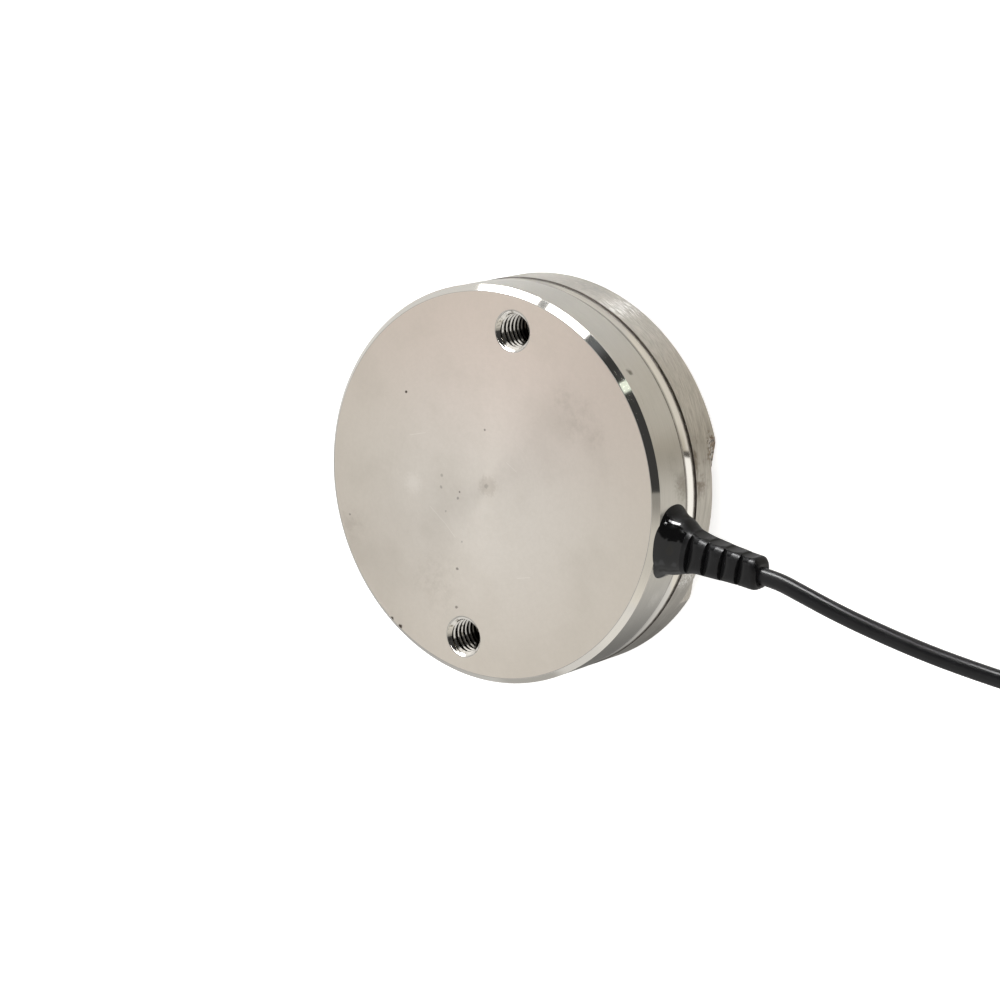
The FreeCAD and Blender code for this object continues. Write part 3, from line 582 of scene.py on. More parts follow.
def tapped_steel():
    """Bright flanks with brown stains, painted dark at depth as shade in the hole."""
    material, tree, shader = new_material("tapped steel")
    where = position(tree)
    stain = noise(tree, 1400.0, 3.0, where)
    colour = tint(tree, remap(tree, stain, 0.5, 0.75), opaque(0.66, 0.64, 0.60), opaque(0.26, 0.24, 0.20))
    # Painted shade: the flanks turn black towards the bottom of the hole
    deep_shade = remap(tree, split(tree, where)["Z"], deep_shade_start, deep_shade_full)
    colour = tint(tree, deep_shade, colour, opaque(0.03, 0.026, 0.02))
    feed(tree, shader, colour, raised(tree, 0.06, stain, 0.1), Metallic=1.0)
    return material


thread_steel = tapped_steel()
for side, label in ((-1, "lower"), (1, "upper")):
    ridge = bmesh.new()
    start = face_level - hole_depth + root_width / 2
    section = [(thread_radius + edge_round, -root_width / 2), (crest_radius, -crest_width / 2),
               (crest_radius, crest_width / 2), (thread_radius + edge_round, root_width / 2)]
    drawn(ridge, [(radius, start + height) for radius, height in section], closed=True)
    bmesh.ops.spin(ridge, geom=ridge.verts[:] + ridge.edges[:], axis=(0, 0, 1), angle=math.tau * thread_turns,
                   dvec=(0, 0, thread_pitch / thread_steps), steps=thread_turns * thread_steps,
                   use_merge=False)
    bmesh.ops.holes_fill(ridge, edges=[edge for edge in ridge.edges if edge.is_boundary], sides=4)
    for vert in ridge.verts:
        radius = math.hypot(vert.co.x, vert.co.y)
        depth = face_level - vert.co.z
        mouth = hole_mouth - depth
        if radius < mouth:
            vert.co.x *= mouth / radius
            vert.co.y *= mouth / radius
        vert.co.z = min(vert.co.z, face_level - countersink / 2)
    bmesh.ops.recalc_face_normals(ridge, faces=ridge.faces)
    bmesh.ops.translate(ridge, verts=ridge.verts, vec=(0, side * hole_offset, 0))
    shade(piece("thread_" + label, ridge, [thread_steel]), crease=25)

# Spring element
# The rear half of the body: load button, diaphragm, hub and register lip turned in one piece of stainless.
# Its rim is brushed round with abrasive cloth, and a flat is milled into the rear corner under the cable.

element_low, element_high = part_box("spring_element")
rear_level = 0.002
button_radius = 0.015
button_break = 0.0006
button_root = 0.0008
rim_break = 0.0004
diaphragm_thickness = 0.003
diaphragm_top = rear_level + diaphragm_thickness
hub_radius = 0.010
hub_top = seam_level - 0.0015
trough_radius = 0.02345
trough_fillet = 0.0012
lip_radius = 0.02495
flat_depth = 0.00367
flat_height = 0.00335
flat_top = rear_level + flat_height
flat_turn = math.radians(1.2)

# Brushed rim: brown stains by the flat, darker grey patches near 85 degrees round, brown dirt below the seam
# under the boot, and pale flecks near -14 degrees and scuffs near 72 degrees painted bright as glints
RIM_SPOTS_AND_PAINTED_LIGHT = [((0.0362, 0.0170, 0.0036), 0.0030, 0.8, 0.9, 1600.0, opaque(0.13, 0.085, 0.055)),
            ((0.0371, 0.0150, 0.0047), 0.0026, 0.8, 0.85, 420.0, opaque(0.19, 0.15, 0.11)),
            ((0.0042, 0.0398, 0.0065), 0.0075, 0.9, 0.45, 70.0, opaque(0.27, 0.265, 0.255)),
            ((0.0372, 0.0147, 0.0105), 0.0055, 0.95, 0.75, 260.0, opaque(0.13, 0.10, 0.075)),
            ((0.0387, 0.0100, 0.0105), 0.0045, 0.95, 0.75, 260.0, opaque(0.13, 0.10, 0.075)),
            ((0.0028, 0.0399, 0.0070), 0.0080, 0.95, 0.5, 900.0, opaque(0.27, 0.27, 0.26)),
            ((0.0388, -0.0097, 0.0086), 0.0038, 0.7, 0.8, 3200.0, opaque(0.86, 0.85, 0.83)),
            ((0.0122, 0.0381, 0.0030), 0.0038, 0.7, 0.85, 0.0, opaque(0.92, 0.91, 0.89)),
            ((0.0125, 0.0380, 0.0062), 0.0044, 0.7, 0.85, 0.0, opaque(0.92, 0.91, 0.89)),
            ((0.0120, 0.0382, 0.0090), 0.0040, 0.7, 0.85, 0.0, opaque(0.92, 0.91, 0.89))]
FLAT_DIRT = [((0.0360, 0.0165, 0.0034), 0.0110, 0.45, 0.95, 60.0, opaque(0.17, 0.125, 0.085)),
             ((0.0360, 0.0165, 0.0034), 0.0100, 0.45, 0.9, 900.0, opaque(0.20, 0.15, 0.105)),
             ((0.0360, 0.0165, 0.0034), 0.0100, 0.45, 0.9, 2100.0, opaque(0.05, 0.04, 0.032))]
brushed_steel = turned_band_steel("brushed rim steel", opaque(0.53, 0.505, 0.46), opaque(0.33, 0.312, 0.28),
                                  rough=0.27, fineness=5200.0, drift=620.0, relief=0.4, dirt=RIM_SPOTS_AND_PAINTED_LIGHT)
rear_steel = turned_band_steel("turned rear steel", opaque(0.52, 0.50, 0.46), opaque(0.42, 0.40, 0.37),
                               rough=0.28, fineness=3000.0, drift=60.0, relief=0.3)
flat_steel = turned_band_steel("milled flat steel", opaque(0.46, 0.44, 0.40), opaque(0.36, 0.34, 0.31),
                               rough=0.3, fineness=1600.0, drift=60.0, relief=0.3, dirt=FLAT_DIRT)
element_finish = [brushed_steel, rear_steel, seam_soil, flat_steel]
BRUSHED, REAR, SEAM_EDGE, MILLED = range(len(element_finish))

element = turned(
    [(0, element_low.z), (button_radius - button_break, element_low.z), (button_radius, button_break)]
    + arc(button_radius + button_root, rear_level - button_root, button_root, 180, 90, 6)
    + [(wall - rim_break, rear_level), (wall, rear_level + rim_break), (wall, flat_top + edge_round / 2),
       (wall, seam_level), (lip_radius, seam_level), (lip_radius, element_high.z),
       (trough_radius, element_high.z)]
    + arc(trough_radius - trough_fillet, diaphragm_top + trough_fillet, trough_fillet, 0, -90, 6)
    + arc(hub_radius + trough_fillet, diaphragm_top + trough_fillet, trough_fillet, 270, 180, 6)
    + [(hub_radius, hub_top), (0, hub_top)],
    edge_round, body_steps)
for face in element.faces:
    middle = face.calc_center_median()
    radius = math.hypot(middle.x, middle.y)
    if middle.z > seam_level - edge_round and radius > wall - seam_depth:
        face.material_index = SEAM_EDGE
    elif middle.z > rear_level and radius > wall - rim_break:
        face.material_index = BRUSHED
    else:
        face.material_index = REAR
element_body = piece("element_body", element, element_finish, ["spring_element"])
flat = bmesh.new()
bmesh.ops.create_cube(flat, size=1.0)
bmesh.ops.scale(flat, verts=flat.verts, vec=(flat_depth * 2, wall * 2, (flat_top - rear_level) * 2))
bmesh.ops.translate(flat, verts=flat.verts, vec=(wall, 0, rear_level))
bmesh.ops.rotate(flat, verts=flat.verts, matrix=Matrix.Rotation(flat_turn, 3, "Z"))
carve(element_body, flat)
for face in element_body.data.polygons:
    off_flat = abs(face.center.x - (wall - flat_depth))
    if face.normal.x > 0.99 and face.center.z < flat_top and off_flat < flat_depth * 0.2:
        face.material_index = MILLED
shade(element_body, crease=40)

# Gauge bridge inside the body
# Four foil gauges bonded to the diaphragm, their fine wires, and the terminal board with resistors and cores.
# Bought-in parts, soldered and lacquered by hand, closed in for good when the two halves are joined.


def coated(name, colour, shadow, rough, metallic=0.0, grain=2500.0):
    """A plain finish with fine mottling, for small bought-in parts."""
    material, tree, shader = new_material(name)
    mottle = noise(tree, grain, 3.0, position(tree))
    colour = tint(tree, remap(tree, mottle, 0.35, 0.7), opaque(*colour), opaque(*shadow))
    feed(tree, shader, colour, raised(tree, rough, mottle, 0.15), bump(tree, mottle, 0.1, 0.00004),
         Metallic=metallic)
    return material


def dress(material, *nodes):
    """Give CAD nodes a finish."""
    for name in nodes:
        for place in frame["nodes"][name].material_slots:
            place.material = material


gauge_film = coated("gauge film", (0.72, 0.46, 0.14), (0.60, 0.34, 0.08), rough=0.25)
enamelled_copper = coated("enamelled copper", (0.62, 0.27, 0.12), (0.45, 0.17, 0.07), rough=0.2, metallic=0.9)
laminate = coated("board laminate", (0.03, 0.20, 0.09), (0.02, 0.14, 0.06), rough=0.3, grain=900.0)
pillar_brass = coated("pillar brass", (0.72, 0.53, 0.24), (0.60, 0.42, 0.18), rough=0.22, metallic=1.0)
zinc = coated("zinc plate", (0.62, 0.62, 0.60), (0.48, 0.48, 0.47), rough=0.28, metallic=1.0)
lacquer = coated("resistor lacquer", (0.60, 0.48, 0.30), (0.50, 0.38, 0.22), rough=0.3)
plated = coated("plated ferrule", (0.66, 0.62, 0.54), (0.52, 0.48, 0.41), rough=0.22, metallic=1.0)
dress(gauge_film, "strain_gauge_1", "strain_gauge_2", "strain_gauge_3", "strain_gauge_4")
dress(enamelled_copper, "gauge_wires_1", "gauge_wires_2", "gauge_wires_3", "gauge_wires_4")
dress(laminate, "bridge_board")
dress(pillar_brass, "board_standoffs")
dress(zinc, "board_screws")
dress(lacquer, "zero_resistor", "span_resistor", "temperature_resistor")
dress(plated, "cable_ferrule")

INSULATION = {
    "red": ((0.50, 0.015, 0.012), (0.38, 0.010, 0.010)),
    "black": ((0.014, 0.014, 0.015), (0.022, 0.022, 0.023)),
    "green": ((0.015, 0.22, 0.05), (0.010, 0.16, 0.035)),
    "white": ((0.72, 0.71, 0.68), (0.62, 0.61, 0.57)),
}
core_finish = {}
for name, (colour, shadow) in INSULATION.items():
    core_finish[name] = coated(name + " insulation", colour, shadow, 0.3)
    dress(core_finish[name], "core_" + name)

# Boot
# Strain relief moulded in black rubber: a trumpet flare seated on the wall, running out into a slotted tail.
# The mould is polished at the flare and satin along the tail. Darker, duller rubber on the +Y side and in
# the slot ends is painted shade. The cross slots above and below let the tail bend, and its stem is pushed
# into the wall over the cable.

boot_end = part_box("cable_boot")[1].x
slot_count = 4
slot_first = 0.0468
slot_pitch = 0.00368
slot_width = 0.0024
slot_depth = 0.0015
slot_slope = 0.0020
slot_side = 0.00028
pocket_length = 0.0008
pocket_share = 0.85
pocket_slope_low = 0.6
pocket_slope_high = 3.0
shoulder_side_slope = 1.1
tail_side_slope = 1.7
boot_segments = 96
blend_reach = 0.0005
stem_radius = 0.003
stem_start = wall - 0.008
stem_end = wall - 0.0004
end_round = 0.0012
end_slant = 0.16
slant_start = 0.057
shoulder_end = 0.0427
flare_end = 0.0445

# Outline of the boot, row by row along the cable: place, half width, half height, how square the section is,
# how far it is turned round the cable in degrees, and how far it leans to +Y
BOOT_OUTLINE = [
    (0.0386, 0.00825, 0.00572, 2.4, 4.0, 0.0),
    (0.0396, 0.00732, 0.00560, 2.4, 4.0, 0.0),
    (0.0403, 0.00676, 0.00554, 2.3, 4.0, 0.0),
    (0.0410, 0.00614, 0.00548, 2.25, 3.8, 0.0),
    (0.0415, 0.00604, 0.00540, 2.2, 3.6, 0.0),
    (0.0420, 0.00597, 0.00518, 2.2, 3.3, 0.00002),
    (0.0425, 0.00587, 0.00487, 2.2, 3.0, 0.00006),
    (0.0430, 0.00570, 0.00456, 2.25, 2.5, 0.00010),
    (0.0435, 0.00547, 0.00430, 2.3, 2.0, 0.00008),
    (0.0440, 0.00513, 0.00410, 2.4, 1.6, 0.0),
    (0.0445, 0.00482, 0.00397, 2.5, 1.2, -0.00010),
    (0.0450, 0.00452, 0.00390, 2.6, 0.8, -0.00016),
    (0.0455, 0.00438, 0.00387, 2.65, 0.5, -0.00016),
    (0.0460, 0.00427, 0.00385, 2.7, 0.3, -0.00012),
    (0.0475, 0.00386, 0.00378, 2.8, 0.0, 0.0),
    (0.0490, 0.00370, 0.00368, 3.0, 0.0, 0.0),
    (0.0510, 0.00360, 0.00358, 3.0, 0.0, 0.00004),
    (0.0530, 0.00343, 0.00343, 3.0, 0.0, 0.00008),
    (0.0550, 0.00334, 0.00332, 3.0, 0.0, 0.00018),
    (0.0570, 0.00322, 0.00324, 3.0, 0.0, 0.00022),
    (boot_end, 0.00318, 0.00320, 3.0, 0.0, 0.00030),
]
# Where the rings of the flare lie along the cable
FLARE_PLACES = (0.0394, 0.0401, 0.0405, 0.0409, 0.0413, 0.0417, 0.0421, 0.0425, 0.0428, 0.0431, 0.0434,
                0.0437, 0.0440, 0.0443, 0.0446, 0.0449, 0.0452)
# Near edge of a slot: how far from it, in roundings, and the share there of the slot's depth and of its side
SLOT_EDGE = ((-2, 0.0, 0.0), (-1, 0.02, 0.1), (0, 0.08, 0.3), (1 / 3, 1.0, 0.6))
# Far side of a slot: how far along its slope, and the share left there of the slot's depth and of its side
SLOT_SLOPE = ((0.0, 1.0, 0.8), (0.08, 0.70, 0.9), (0.2, 0.46, 1.0), (0.4, 0.25, 1.0), (0.6, 0.11, 0.95),
              (0.8, 0.03, 0.85), (1.0, 0.0, 0.7))
# Rounded end of the tail: how far back and how far in, as shares of its rounding
END_ROUNDING = ((1.0, 0.0), (0.74, 0.03), (0.5, 0.13), (0.29, 0.29), (0.13, 0.5), (0.03, 0.74), (0.0, 1.0))


def boot_row(x):
    """A row of the outline at any place along the cable."""
    for start, end in zip(BOOT_OUTLINE, BOOT_OUTLINE[1:]):
        if x <= end[0]:
            share = max(0.0, (x - start[0]) / (end[0] - start[0]))
            return [a + (b - a) * share for a, b in zip(start[1:], end[1:])]
    return BOOT_OUTLINE[-1][1:]


def boot_size(x):
    """The outline with its rows blended into each other."""
    rows = [boot_row(x + blend_reach * share) for share in (-1.0, -0.5, 0.0, 0.5, 1.0)]
    return [sum(values) / len(rows) for values in zip(*rows)]


def squared(part, power):
    """A circle's cosine or sine drawn out towards a rounded square."""
    return math.copysign(abs(part) ** (2 / power), part)


def boot_ring(bm, x, size, floor=1.0, side=1.0):
    """A ring of the boot across the cable; a slot's floor limits its height, the slot's ends its width."""
    wide, high, power, turn, lean = size
    ring = bmesh.ops.create_circle(bm, segments=boot_segments, radius=1.0)["verts"]
    for vert in ring:
        across = max(-side, min(side, wide * squared(vert.co.x, power)))
        up = high * squared(vert.co.y, power)
        slanted = end_slant * max(0.0, (x - slant_start) / (boot_end - slant_start))
        vert.co = (x - slanted * across, across, max(-floor, min(floor, up)))
    bmesh.ops.rotate(bm, verts=ring, matrix=Matrix.Rotation(math.radians(turn), 3, "X"))
    bmesh.ops.translate(bm, verts=ring, vec=(0, lean, cable_axis))
    return ring


def ring_edges(ring):
    """The edges of a ring that no face joins yet on both sides."""
    return list({edge for vert in ring for edge in vert.link_edges if edge.is_wire or edge.is_boundary})


boot = bmesh.new()
rings = [boot_ring(boot, x, boot_size(x)) for x in FLARE_PLACES]
for vert in rings[0]:
    seat = wall - max(0.0, vert.co.z - (face_level - face_chamfer))
    vert.co.x = math.sqrt(seat ** 2 - vert.co.y ** 2)
for place in range(slot_count):
    near = slot_first + place * slot_pitch - slot_width / 2
    far = near + slot_width
    steps = [(near + edge_round * along, left, beside) for along, left, beside in SLOT_EDGE]
    steps += [(far - slot_slope * (1 - along), left, beside) for along, left, beside in SLOT_SLOPE]
    steps.append((far + pocket_length / 2, 0.0, 0.35))
    if place < slot_count - 1:
        steps.append((far + pocket_length, 0.0, 0.1))
    for x, left, beside in steps:
        size = boot_size(x)
        rings.append(boot_ring(boot, x, size, size[1] - left * slot_depth, size[0] - beside * slot_side))
end_wide, end_high, *end_rest = boot_size(boot_end)
for back, inset in END_ROUNDING:
    rounded = (end_wide - end_round * inset, end_high - end_round * inset, *end_rest)
    rings.append(boot_ring(boot, boot_end + edge_round - end_round * back, rounded))
for x, radius in ((boot_end + edge_round, cable_bore), (stem_start, cable_bore), (stem_start, stem_radius),
                  (stem_end, stem_radius)):
    rings.append(boot_ring(boot, x, (radius, radius, 2.0, 0.0, 0.0)))
for first, second in zip(rings, rings[1:] + rings[:1]):
    bmesh.ops.bridge_loops(boot, edges=ring_edges(first) + ring_edges(second))
bmesh.ops.recalc_face_normals(boot, faces=boot.faces)


def rubber_grain_group():
    """Fine moulded grain and a little pale dust, for rubber and cable jacket."""
    tree, given, result = group("rubber grain", {"Grain": 2600.0, "Dust": 160.0}, ["Grain", "Dust"])
    where = position(tree)
    tree.links.new(noise(tree, given["Grain"], 2.0, where), result["Grain"])
    tree.links.new(remap(tree, noise(tree, given["Dust"], 4.0, where, 0.6), 0.5, 0.75), result["Dust"])
    return tree


rubber_grain = rubber_grain_group()


def moulded_rubber(name, colour, dusty, rough, relief, level):
    """Moulded black rubber, with the gloss that one part of the mould gives it; its darker, duller copies are
    painted shade.
    """
    material, tree, shader = new_material(name)
    grain = use(tree, rubber_grain, Grain=3200.0, Dust=260.0)
    feed(tree, shader, tint(tree, grain["Dust"], opaque(*colour), opaque(*dusty)),
         raised(tree, rough, grain["Grain"], 0.04), bump(tree, grain["Grain"], relief, 0.00005),
         Specular_IOR_Level=level)
    return material


flare_rubber = moulded_rubber("flare rubber", (0.003, 0.003, 0.0032), (0.004, 0.004, 0.0043),
                              rough=0.09, relief=0.0, level=0.4)
tail_rubber = moulded_rubber("tail rubber", (0.009, 0.009, 0.0095), (0.014, 0.014, 0.015),
                             rough=0.31, relief=0.12, level=0.18)
# Painted shade: darker, duller copies of the rubber for the +Y side and the slot ends
side_painted_shade = moulded_rubber("side painted shade rubber", (0.005, 0.005, 0.0054), (0.008, 0.008, 0.0085),
                             rough=0.36, relief=0.1, level=0.12)
pocket_painted_shade = moulded_rubber("pocket painted shade rubber", (0.003, 0.003, 0.0033), (0.005, 0.005, 0.0054),
                               rough=0.45, relief=0.1, level=0.05)
boot_finish = [flare_rubber, tail_rubber, side_painted_shade, pocket_painted_shade]
FLARE, TAIL, SHADED_SIDE, SHADED_POCKET = range(len(boot_finish))
for face in boot.faces:
    place = face.calc_center_median().x
    past_slot = (place - slot_first + slot_width / 2) % slot_pitch
    in_slot = place > slot_first - slot_width / 2 and past_slot < slot_width * pocket_share
    side_slope = shoulder_side_slope if shoulder_end < place < flare_end else tail_side_slope
    outward = face.normal.y
    upward = face.normal.z
    # Faces turned to the slot ends and to +Y get the painted shade; by the shoulder more of the side does, to
    # put out its highlight
    if in_slot and upward * pocket_slope_low < outward < upward * pocket_slope_high:
        face.material_index = SHADED_POCKET
    elif outward > upward * side_slope:
        face.material_index = SHADED_SIDE
    else:
        face.material_index = FLARE if place < flare_end else TAIL
boot_piece = piece("moulded_boot", boot, boot_finish, ["cable_boot"])
shade(boot_piece, crease=60)
dress(tail_rubber, "cable_seal")

# Cable
# Round four-core cable in a black satin jacket, two metres long. It leaves the boot, comes down to the
# surface and runs to a neat coil of what is put away, with the far end slipped out of the top layer.

cable_diameter = 0.0034
cable_exit = (boot_end, 0.0, cable_axis)
CABLE_ROUTE = [cable_exit, (0.0645, 0.0002, 0.0187), (0.0690, -0.0005, 0.0186), (0.0775, -0.0024, 0.0170),
               (0.0860, -0.0045, 0.0136), (0.0940, -0.0064, 0.0097), (0.1020, -0.0077, 0.0061),
               (0.1095, -0.0083, 0.0037), (0.1162, -0.0080, 0.0026), (0.1230, -0.0080, 0.0026)]
coil_centre = Vector((0.1370, 0.0158, 0.0))
coil_columns = 4
coil_layers = 4
coil_mean_radius = 0.0187
coil_start = -90
layer_first = 0.0026
turn_points = 24
shift_share = 0.25
lead_out_angle = -70
TAIL_ROUTE = [(0.0235, -0.0144, 0.0128), (0.0295, -0.0112, 0.0128), (0.0358, -0.0050, 0.0111),
              (0.0389, 0.0033, 0.0078), (0.0388, 0.0121, 0.0042), (0.0355, 0.0203, 0.0022),
              (0.0300, 0.0270, 0.0022)]


def coil_point(angle, radius, height):
    """A control point of the coil; the spline runs inside its points by the cosine."""
    reach = radius / math.cos(math.pi / turn_points)
    angle = math.radians(angle)
    return (coil_centre.x + reach * math.cos(angle), coil_centre.y + reach * math.sin(angle), height)


def coil_route():
    """Turn by turn from the outside of the bottom layer, each layer wound back over the last.

    A turn shifts to the place of the next one in the last share of its round.
    """
    middle = (coil_columns - 1) / 2
    radii = [coil_mean_radius + (column - middle) * cable_diameter for column in range(coil_columns)]
    turns = []
    for layer in range(coil_layers):
        for radius in radii[::-1] if layer % 2 == 0 else radii:
            turns.append((radius, layer_first + layer * cable_diameter))
    points = []
    for place, (radius, height) in enumerate(turns):
        next_radius, next_height = turns[min(place + 1, len(turns) - 1)]
        for step in range(turn_points):
            share = max(0.0, step / turn_points - (1 - shift_share)) / shift_share
            ease = share * share * (3 - 2 * share)
            angle = coil_start + 360 * step / turn_points
            points.append(coil_point(angle, radius + (next_radius - radius) * ease,
                                     height + (next_height - height) * ease))
    points.append(coil_point(coil_start, *turns[-1]))
    points.append(coil_point(lead_out_angle, *turns[-1]))
    return points


cable_curve = bpy.data.curves.new("cable", "CURVE")
cable_curve.dimensions = "3D"
cable_curve.bevel_depth = cable_diameter / 2
cable_curve.bevel_resolution = 5
cable_curve.resolution_u = 5
cable_curve.use_fill_caps = True
cable_points = CABLE_ROUTE + coil_route()
cable_points += [(coil_centre.x + x, coil_centre.y + y, z) for x, y, z in TAIL_ROUTE]
cable_line = cable_curve.splines.new("NURBS")
cable_line.points.add(len(cable_points) - 1)
for point, place in zip(cable_line.points, cable_points):
    point.co = (*place, 1.0)
cable_line.order_u = 3
cable_line.use_endpoint_u = True
cable_line.use_smooth = True


def jacket():
    """Extruded jacket: satin, faintly mottled, with a little dust."""
    material, tree, shader = new_material("cable jacket")
    grain = use(tree, rubber_grain, Grain=1800.0, Dust=140.0)
    colour = tint(tree, grain["Dust"], opaque(0.010, 0.010, 0.011), opaque(0.014, 0.014, 0.015))
    relief = bump(tree, grain["Grain"], 0.04, 0.00005)
    feed(tree, shader, colour, raised(tree, 0.26, grain["Grain"], 0.08), relief, Specular_IOR_Level=0.2)
    return material


cable_jacket = jacket()
cable_curve.materials.append(cable_jacket)
cable_piece = placed("cable_line", cable_curve)
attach(cable_piece, "root")
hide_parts("cable", "cable_coil", "cable_tail")
dress(cable_jacket, "cable_entry")

# Strap on the coil
# Woven hook-and-loop strap, wrapped once round all the turns and pressed shut on itself.
# Black nylon with a plain weave and a loop face.

strap_clearance = 0.0001
strap_inner = coil_mean_radius - coil_columns * cable_diameter / 2 - strap_clearance
strap_outer = coil_mean_radius + coil_columns * cable_diameter / 2 + strap_clearance
strap_low = layer_first - cable_diameter / 2 - strap_clearance
strap_high = strap_low + coil_layers * cable_diameter + 2 * strap_clearance
strap_thickness = 0.0007
strap_bend = 0.0004
strap_angle = 100
strap_sweep = 24
strap_steps = 12


def woven_strap():
    """Plain weave of nylon under a fuzz of loops."""
    material, tree, shader = new_material("woven strap")
    where = position(tree)
    cells = {"Vector": where, "Scale": 1800.0, "Randomness": 0.35}
    weave = add(tree, "TexVoronoi", cells).outputs["Distance"]
    fuzz = noise(tree, 5000.0, 3.0, where)
    threads = remap(tree, weave, 0.1, 0.6)
    colour = tint(tree, threads, opaque(0.035, 0.035, 0.038), opaque(0.012, 0.012, 0.013))
    relief = bump(tree, maths(tree, "SUBTRACT", fuzz, weave), 0.6, 0.0002)
    feed(tree, shader, colour, raised(tree, 0.65, fuzz, 0.25), relief, Sheen_Weight=0.3)
    return material


strap = bmesh.new()
loop = drawn(strap, [(strap_inner, strap_low), (strap_outer, strap_low), (strap_outer, strap_high),
                     (strap_inner, strap_high)], closed=True)
bmesh.ops.bevel(strap, geom=loop, offset=strap_bend, segments=4, profile=0.5, affect="VERTICES", material=-1)
bmesh.ops.rotate(strap, verts=strap.verts, matrix=Matrix.Rotation(math.radians(strap_angle), 3, "Z"))
bmesh.ops.spin(strap, geom=strap.verts[:] + strap.edges[:], axis=(0, 0, 1), angle=math.radians(strap_sweep),
               steps=strap_steps, use_merge=False)
bmesh.ops.recalc_face_normals(strap, faces=strap.faces)
bmesh.ops.translate(strap, verts=strap.verts, vec=coil_centre)
strap_piece = piece("coil_strap", strap, [woven_strap()], ["coil_tie"])
thick = strap_piece.modifiers.new("thickness", "SOLIDIFY")
thick.thickness = strap_thickness
thick.offset = 1.0
shade(strap_piece, crease=60)

# Bare end of the cable
# The jacket is stripped back, and a black shrink sleeve gathers the four cores where they come out of it.
# Each core keeps the colour of its insulation, for a terminal block.

dress(cable_jacket, "end_sleeve")
for name in INSULATION:
    dress(core_finish[name], "tail_" + name)

# Studio
# A pale floor that keeps the shadow, a soft lamp above the camera, and an even surround with cards in it.
# The cards are a bright window side, a dark side and a few smaller panels, which the bare steel mirrors.
# The camera stands where the photograph was taken.

camera_place = Vector((0.3474545, 0.1943282, 0.5412141))
camera_target = Vector((0.0034263, -0.0018115, 0.025))
camera_roll = math.radians(-105.164)
camera_lens = 118.8
camera_sensor = 36.0
camera_near = 0.01


def aimed(place, target):
    """Where a camera or a lamp stands, turned to its target."""
    return Matrix.Translation(place) @ (target - place).to_track_quat("-Z", "Y").to_matrix().to_4x4()


camera = placed("camera", bpy.data.cameras.new("camera"))
camera.data.lens = camera_lens
camera.data.sensor_width = camera_sensor
camera.data.clip_start = camera_near
camera.matrix_world = aimed(camera_place, camera_target) @ Matrix.Rotation(camera_roll, 4, "Z")
bpy.context.scene.camera = camera
bpy.context.scene.view_settings.view_transform = "Standard"

floor_size = 3.0
floor_drop = 0.0002
floor_grey = opaque(0.8, 0.8, 0.8)
floor_glow = 0.65
white = opaque(1.0, 1.0, 1.0)

floor = bmesh.new()
bmesh.ops.create_grid(floor, x_segments=1, y_segments=1, size=floor_size)
bmesh.ops.translate(floor, verts=floor.verts, vec=(0, 0, -floor_drop))
floor_piece = placed("floor", mesh_of("floor", floor))
floor_piece.visible_glossy = False

floor_paint = bpy.data.materials.new("floor paint")
floor_paint.use_nodes = True
tree = floor_paint.node_tree
tree.nodes.clear()
rays = add(tree, "LightPath").outputs
seen = strongest(tree, [rays["Is Camera Ray"], rays["Is Glossy Ray"], rays["Is Transmission Ray"]])
lit = add(tree, "BsdfDiffuse", {"Color": floor_grey}).outputs[0]
strength = maths(tree, "MULTIPLY", seen, floor_glow)
glow = add(tree, "Emission", {"Color": white, "Strength": strength}).outputs[0]
both = add(tree, "AddShader", {0: lit, 1: glow}).outputs[0]
add(tree, "OutputMaterial", {"Surface": both})
floor_piece.data.materials.append(floor_paint)

world = bpy.data.worlds.new("studio")
bpy.context.scene.world = world
world.use_nodes = True
tree = world.node_tree
tree.nodes.clear()
toward = split(tree, add(tree, "TexCoord").outputs["Generated"])
azimuth = maths(tree, "ARCTAN2", toward["Y"], toward["X"])
elevation = maths(tree, "ARCSINE", toward["Z"])


def panel(across, up, soft):
    """A mask over the surround between two azimuths and two elevations, in degrees."""
    sides = []
    for value, (low, high) in ((azimuth, across), (elevation, up)):
        sides.append(remap(tree, value, math.radians(low - soft), math.radians(low + soft)))
        sides.append(remap(tree, value, math.radians(high + soft), math.radians(high - soft)))
    result = sides[0]
    for side in sides[1:]:
        result = maths(tree, "MULTIPLY", result, side)
    return result


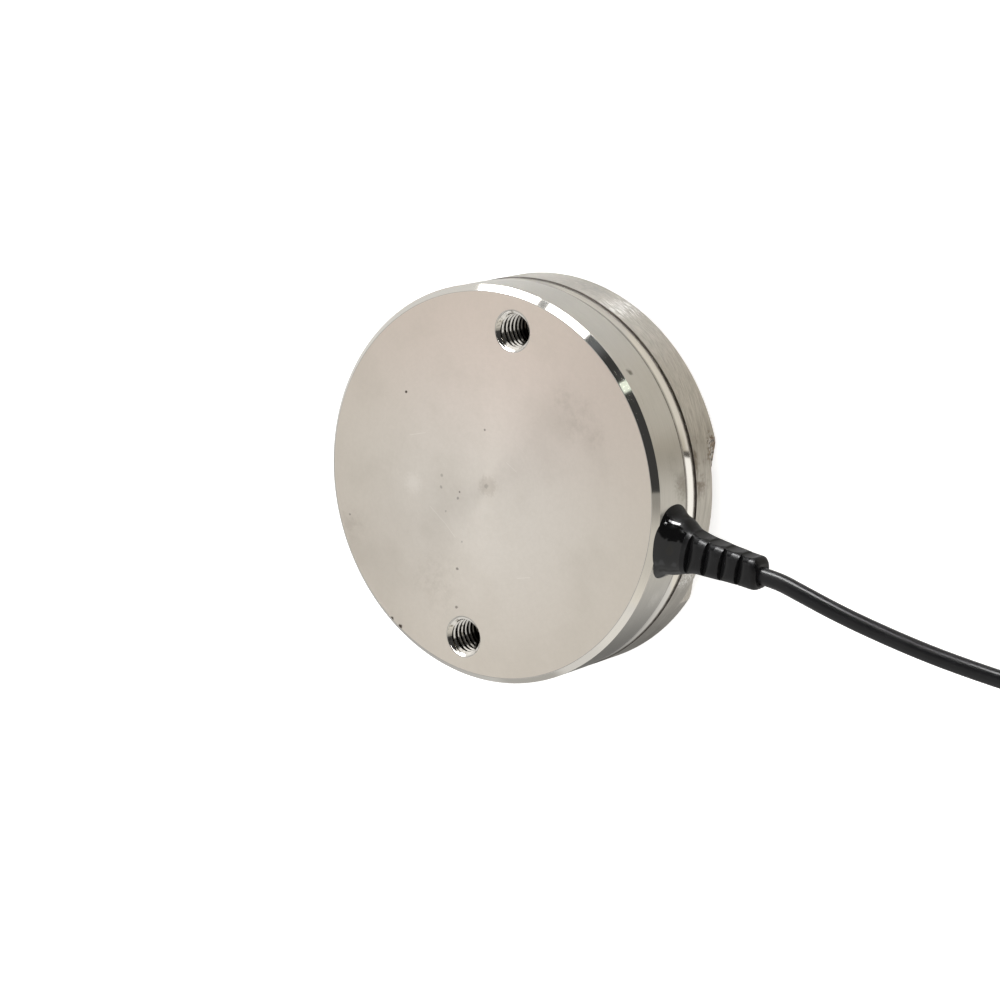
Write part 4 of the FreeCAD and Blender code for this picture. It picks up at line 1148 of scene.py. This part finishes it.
# Cards round the object: azimuths and elevations from and to, softness, all in degrees, and brightness
CARDS = [
    ((112, 172), (12, 58), 10, (1.25, 1.23, 1.20)),
    ((-100, -80), (24, 42), 4, (1.4, 1.4, 1.4)),
    ((3, 101), (-90, 14), 2, (0.91, 0.865, 0.785)),
    ((3, 30), (-90, -30), 7, (0.68, 0.63, 0.54)),
    ((-49, 3), (-90, 60), 2, (1.05, 1.01, 0.93)),
    ((-150, -78), (-90, -25), 33, (0.10, 0.10, 0.10)),
    ((86, 152), (-90, -20), 5, (0.80, 0.78, 0.74)),
    ((134, 148), (-90, -30), 4, (0.68, 0.67, 0.65)),
    ((-40, 20), (12, 52), 12, (0.80, 0.77, 0.71)),
    ((-8, 20), (12, 52), 9, (0.40, 0.385, 0.355)),
    ((-72, -50), (8, 27), 6, (1.06, 1.04, 1.00)),
    ((-112, -91), (-14, 3), 3, (0.58, 0.57, 0.55)),
    ((5, 89.3), (-7, 70), 0.5, (0.06, 0.06, 0.06)),
    ((79, 89.3), (20, 36), 5, (0.19, 0.20, 0.21)),
    ((89, 112), (42, 82), 2, (0.06, 0.06, 0.06)),
    ((40, 145), (60, 82), 3, (0.06, 0.06, 0.06)),
    ((89.3, 97), (23.5, 28.5), 0.4, (6.0, 6.0, 6.0)),
    ((97, 106), (19.5, 27.5), 0.4, (6.0, 6.0, 6.0)),
    ((106, 141), (4, 25), 0.4, (6.0, 6.0, 6.0)),
    ((110.8, 115.6), (12, 27.5), 0.4, (0.5, 0.5, 0.5)),
    ((56.5, 62), (31, 34.5), 0.3, (1.3, 1.42, 1.25)),
    ((-36, 21), (-50, -8), 0.6, (0.12, 0.11, 0.10)),
    ((-34, 18), (-46, -11), 0.6, (1.4, 1.38, 1.34)),
]
# Lamp tubes that only mirrored light shows: azimuths, elevations, softness and brightness
TUBES = [((66, 86), (3, 11), 0.6, 20.0), ((83, 131), (0, 12), 2, 46.0), ((56, 63), (24, 29), 0.6, 30.0)]
surround = opaque(0.93, 0.92, 0.90)
for across, up, soft, light in CARDS:
    surround = tint(tree, panel(across, up, soft), surround, opaque(*light))
rays = add(tree, "LightPath").outputs
for across, up, soft, light in TUBES:
    tube = maths(tree, "MULTIPLY", panel(across, up, soft), rays["Is Glossy Ray"])
    surround = tint(tree, tube, surround, opaque(light, light, light))
surround = tint(tree, rays["Is Camera Ray"], surround, white)
backdrop = add(tree, "Background", {"Color": surround, "Strength": 1.0}).outputs[0]
add(tree, "OutputWorld", {"Surface": backdrop})

lamp_place = Vector((0.30, 0.32, 0.85))
lamp_target = Vector((0.02, 0.0, 0.01))
lamp_size = 0.5
lamp_watts = 3.0
lamp = bpy.data.lights.new("soft lamp", "AREA")
lamp.size = lamp_size
lamp.energy = lamp_watts
lamp_piece = placed("soft lamp", lamp)
lamp_piece.visible_glossy = False
lamp_piece.matrix_world = aimed(lamp_place, lamp_target)
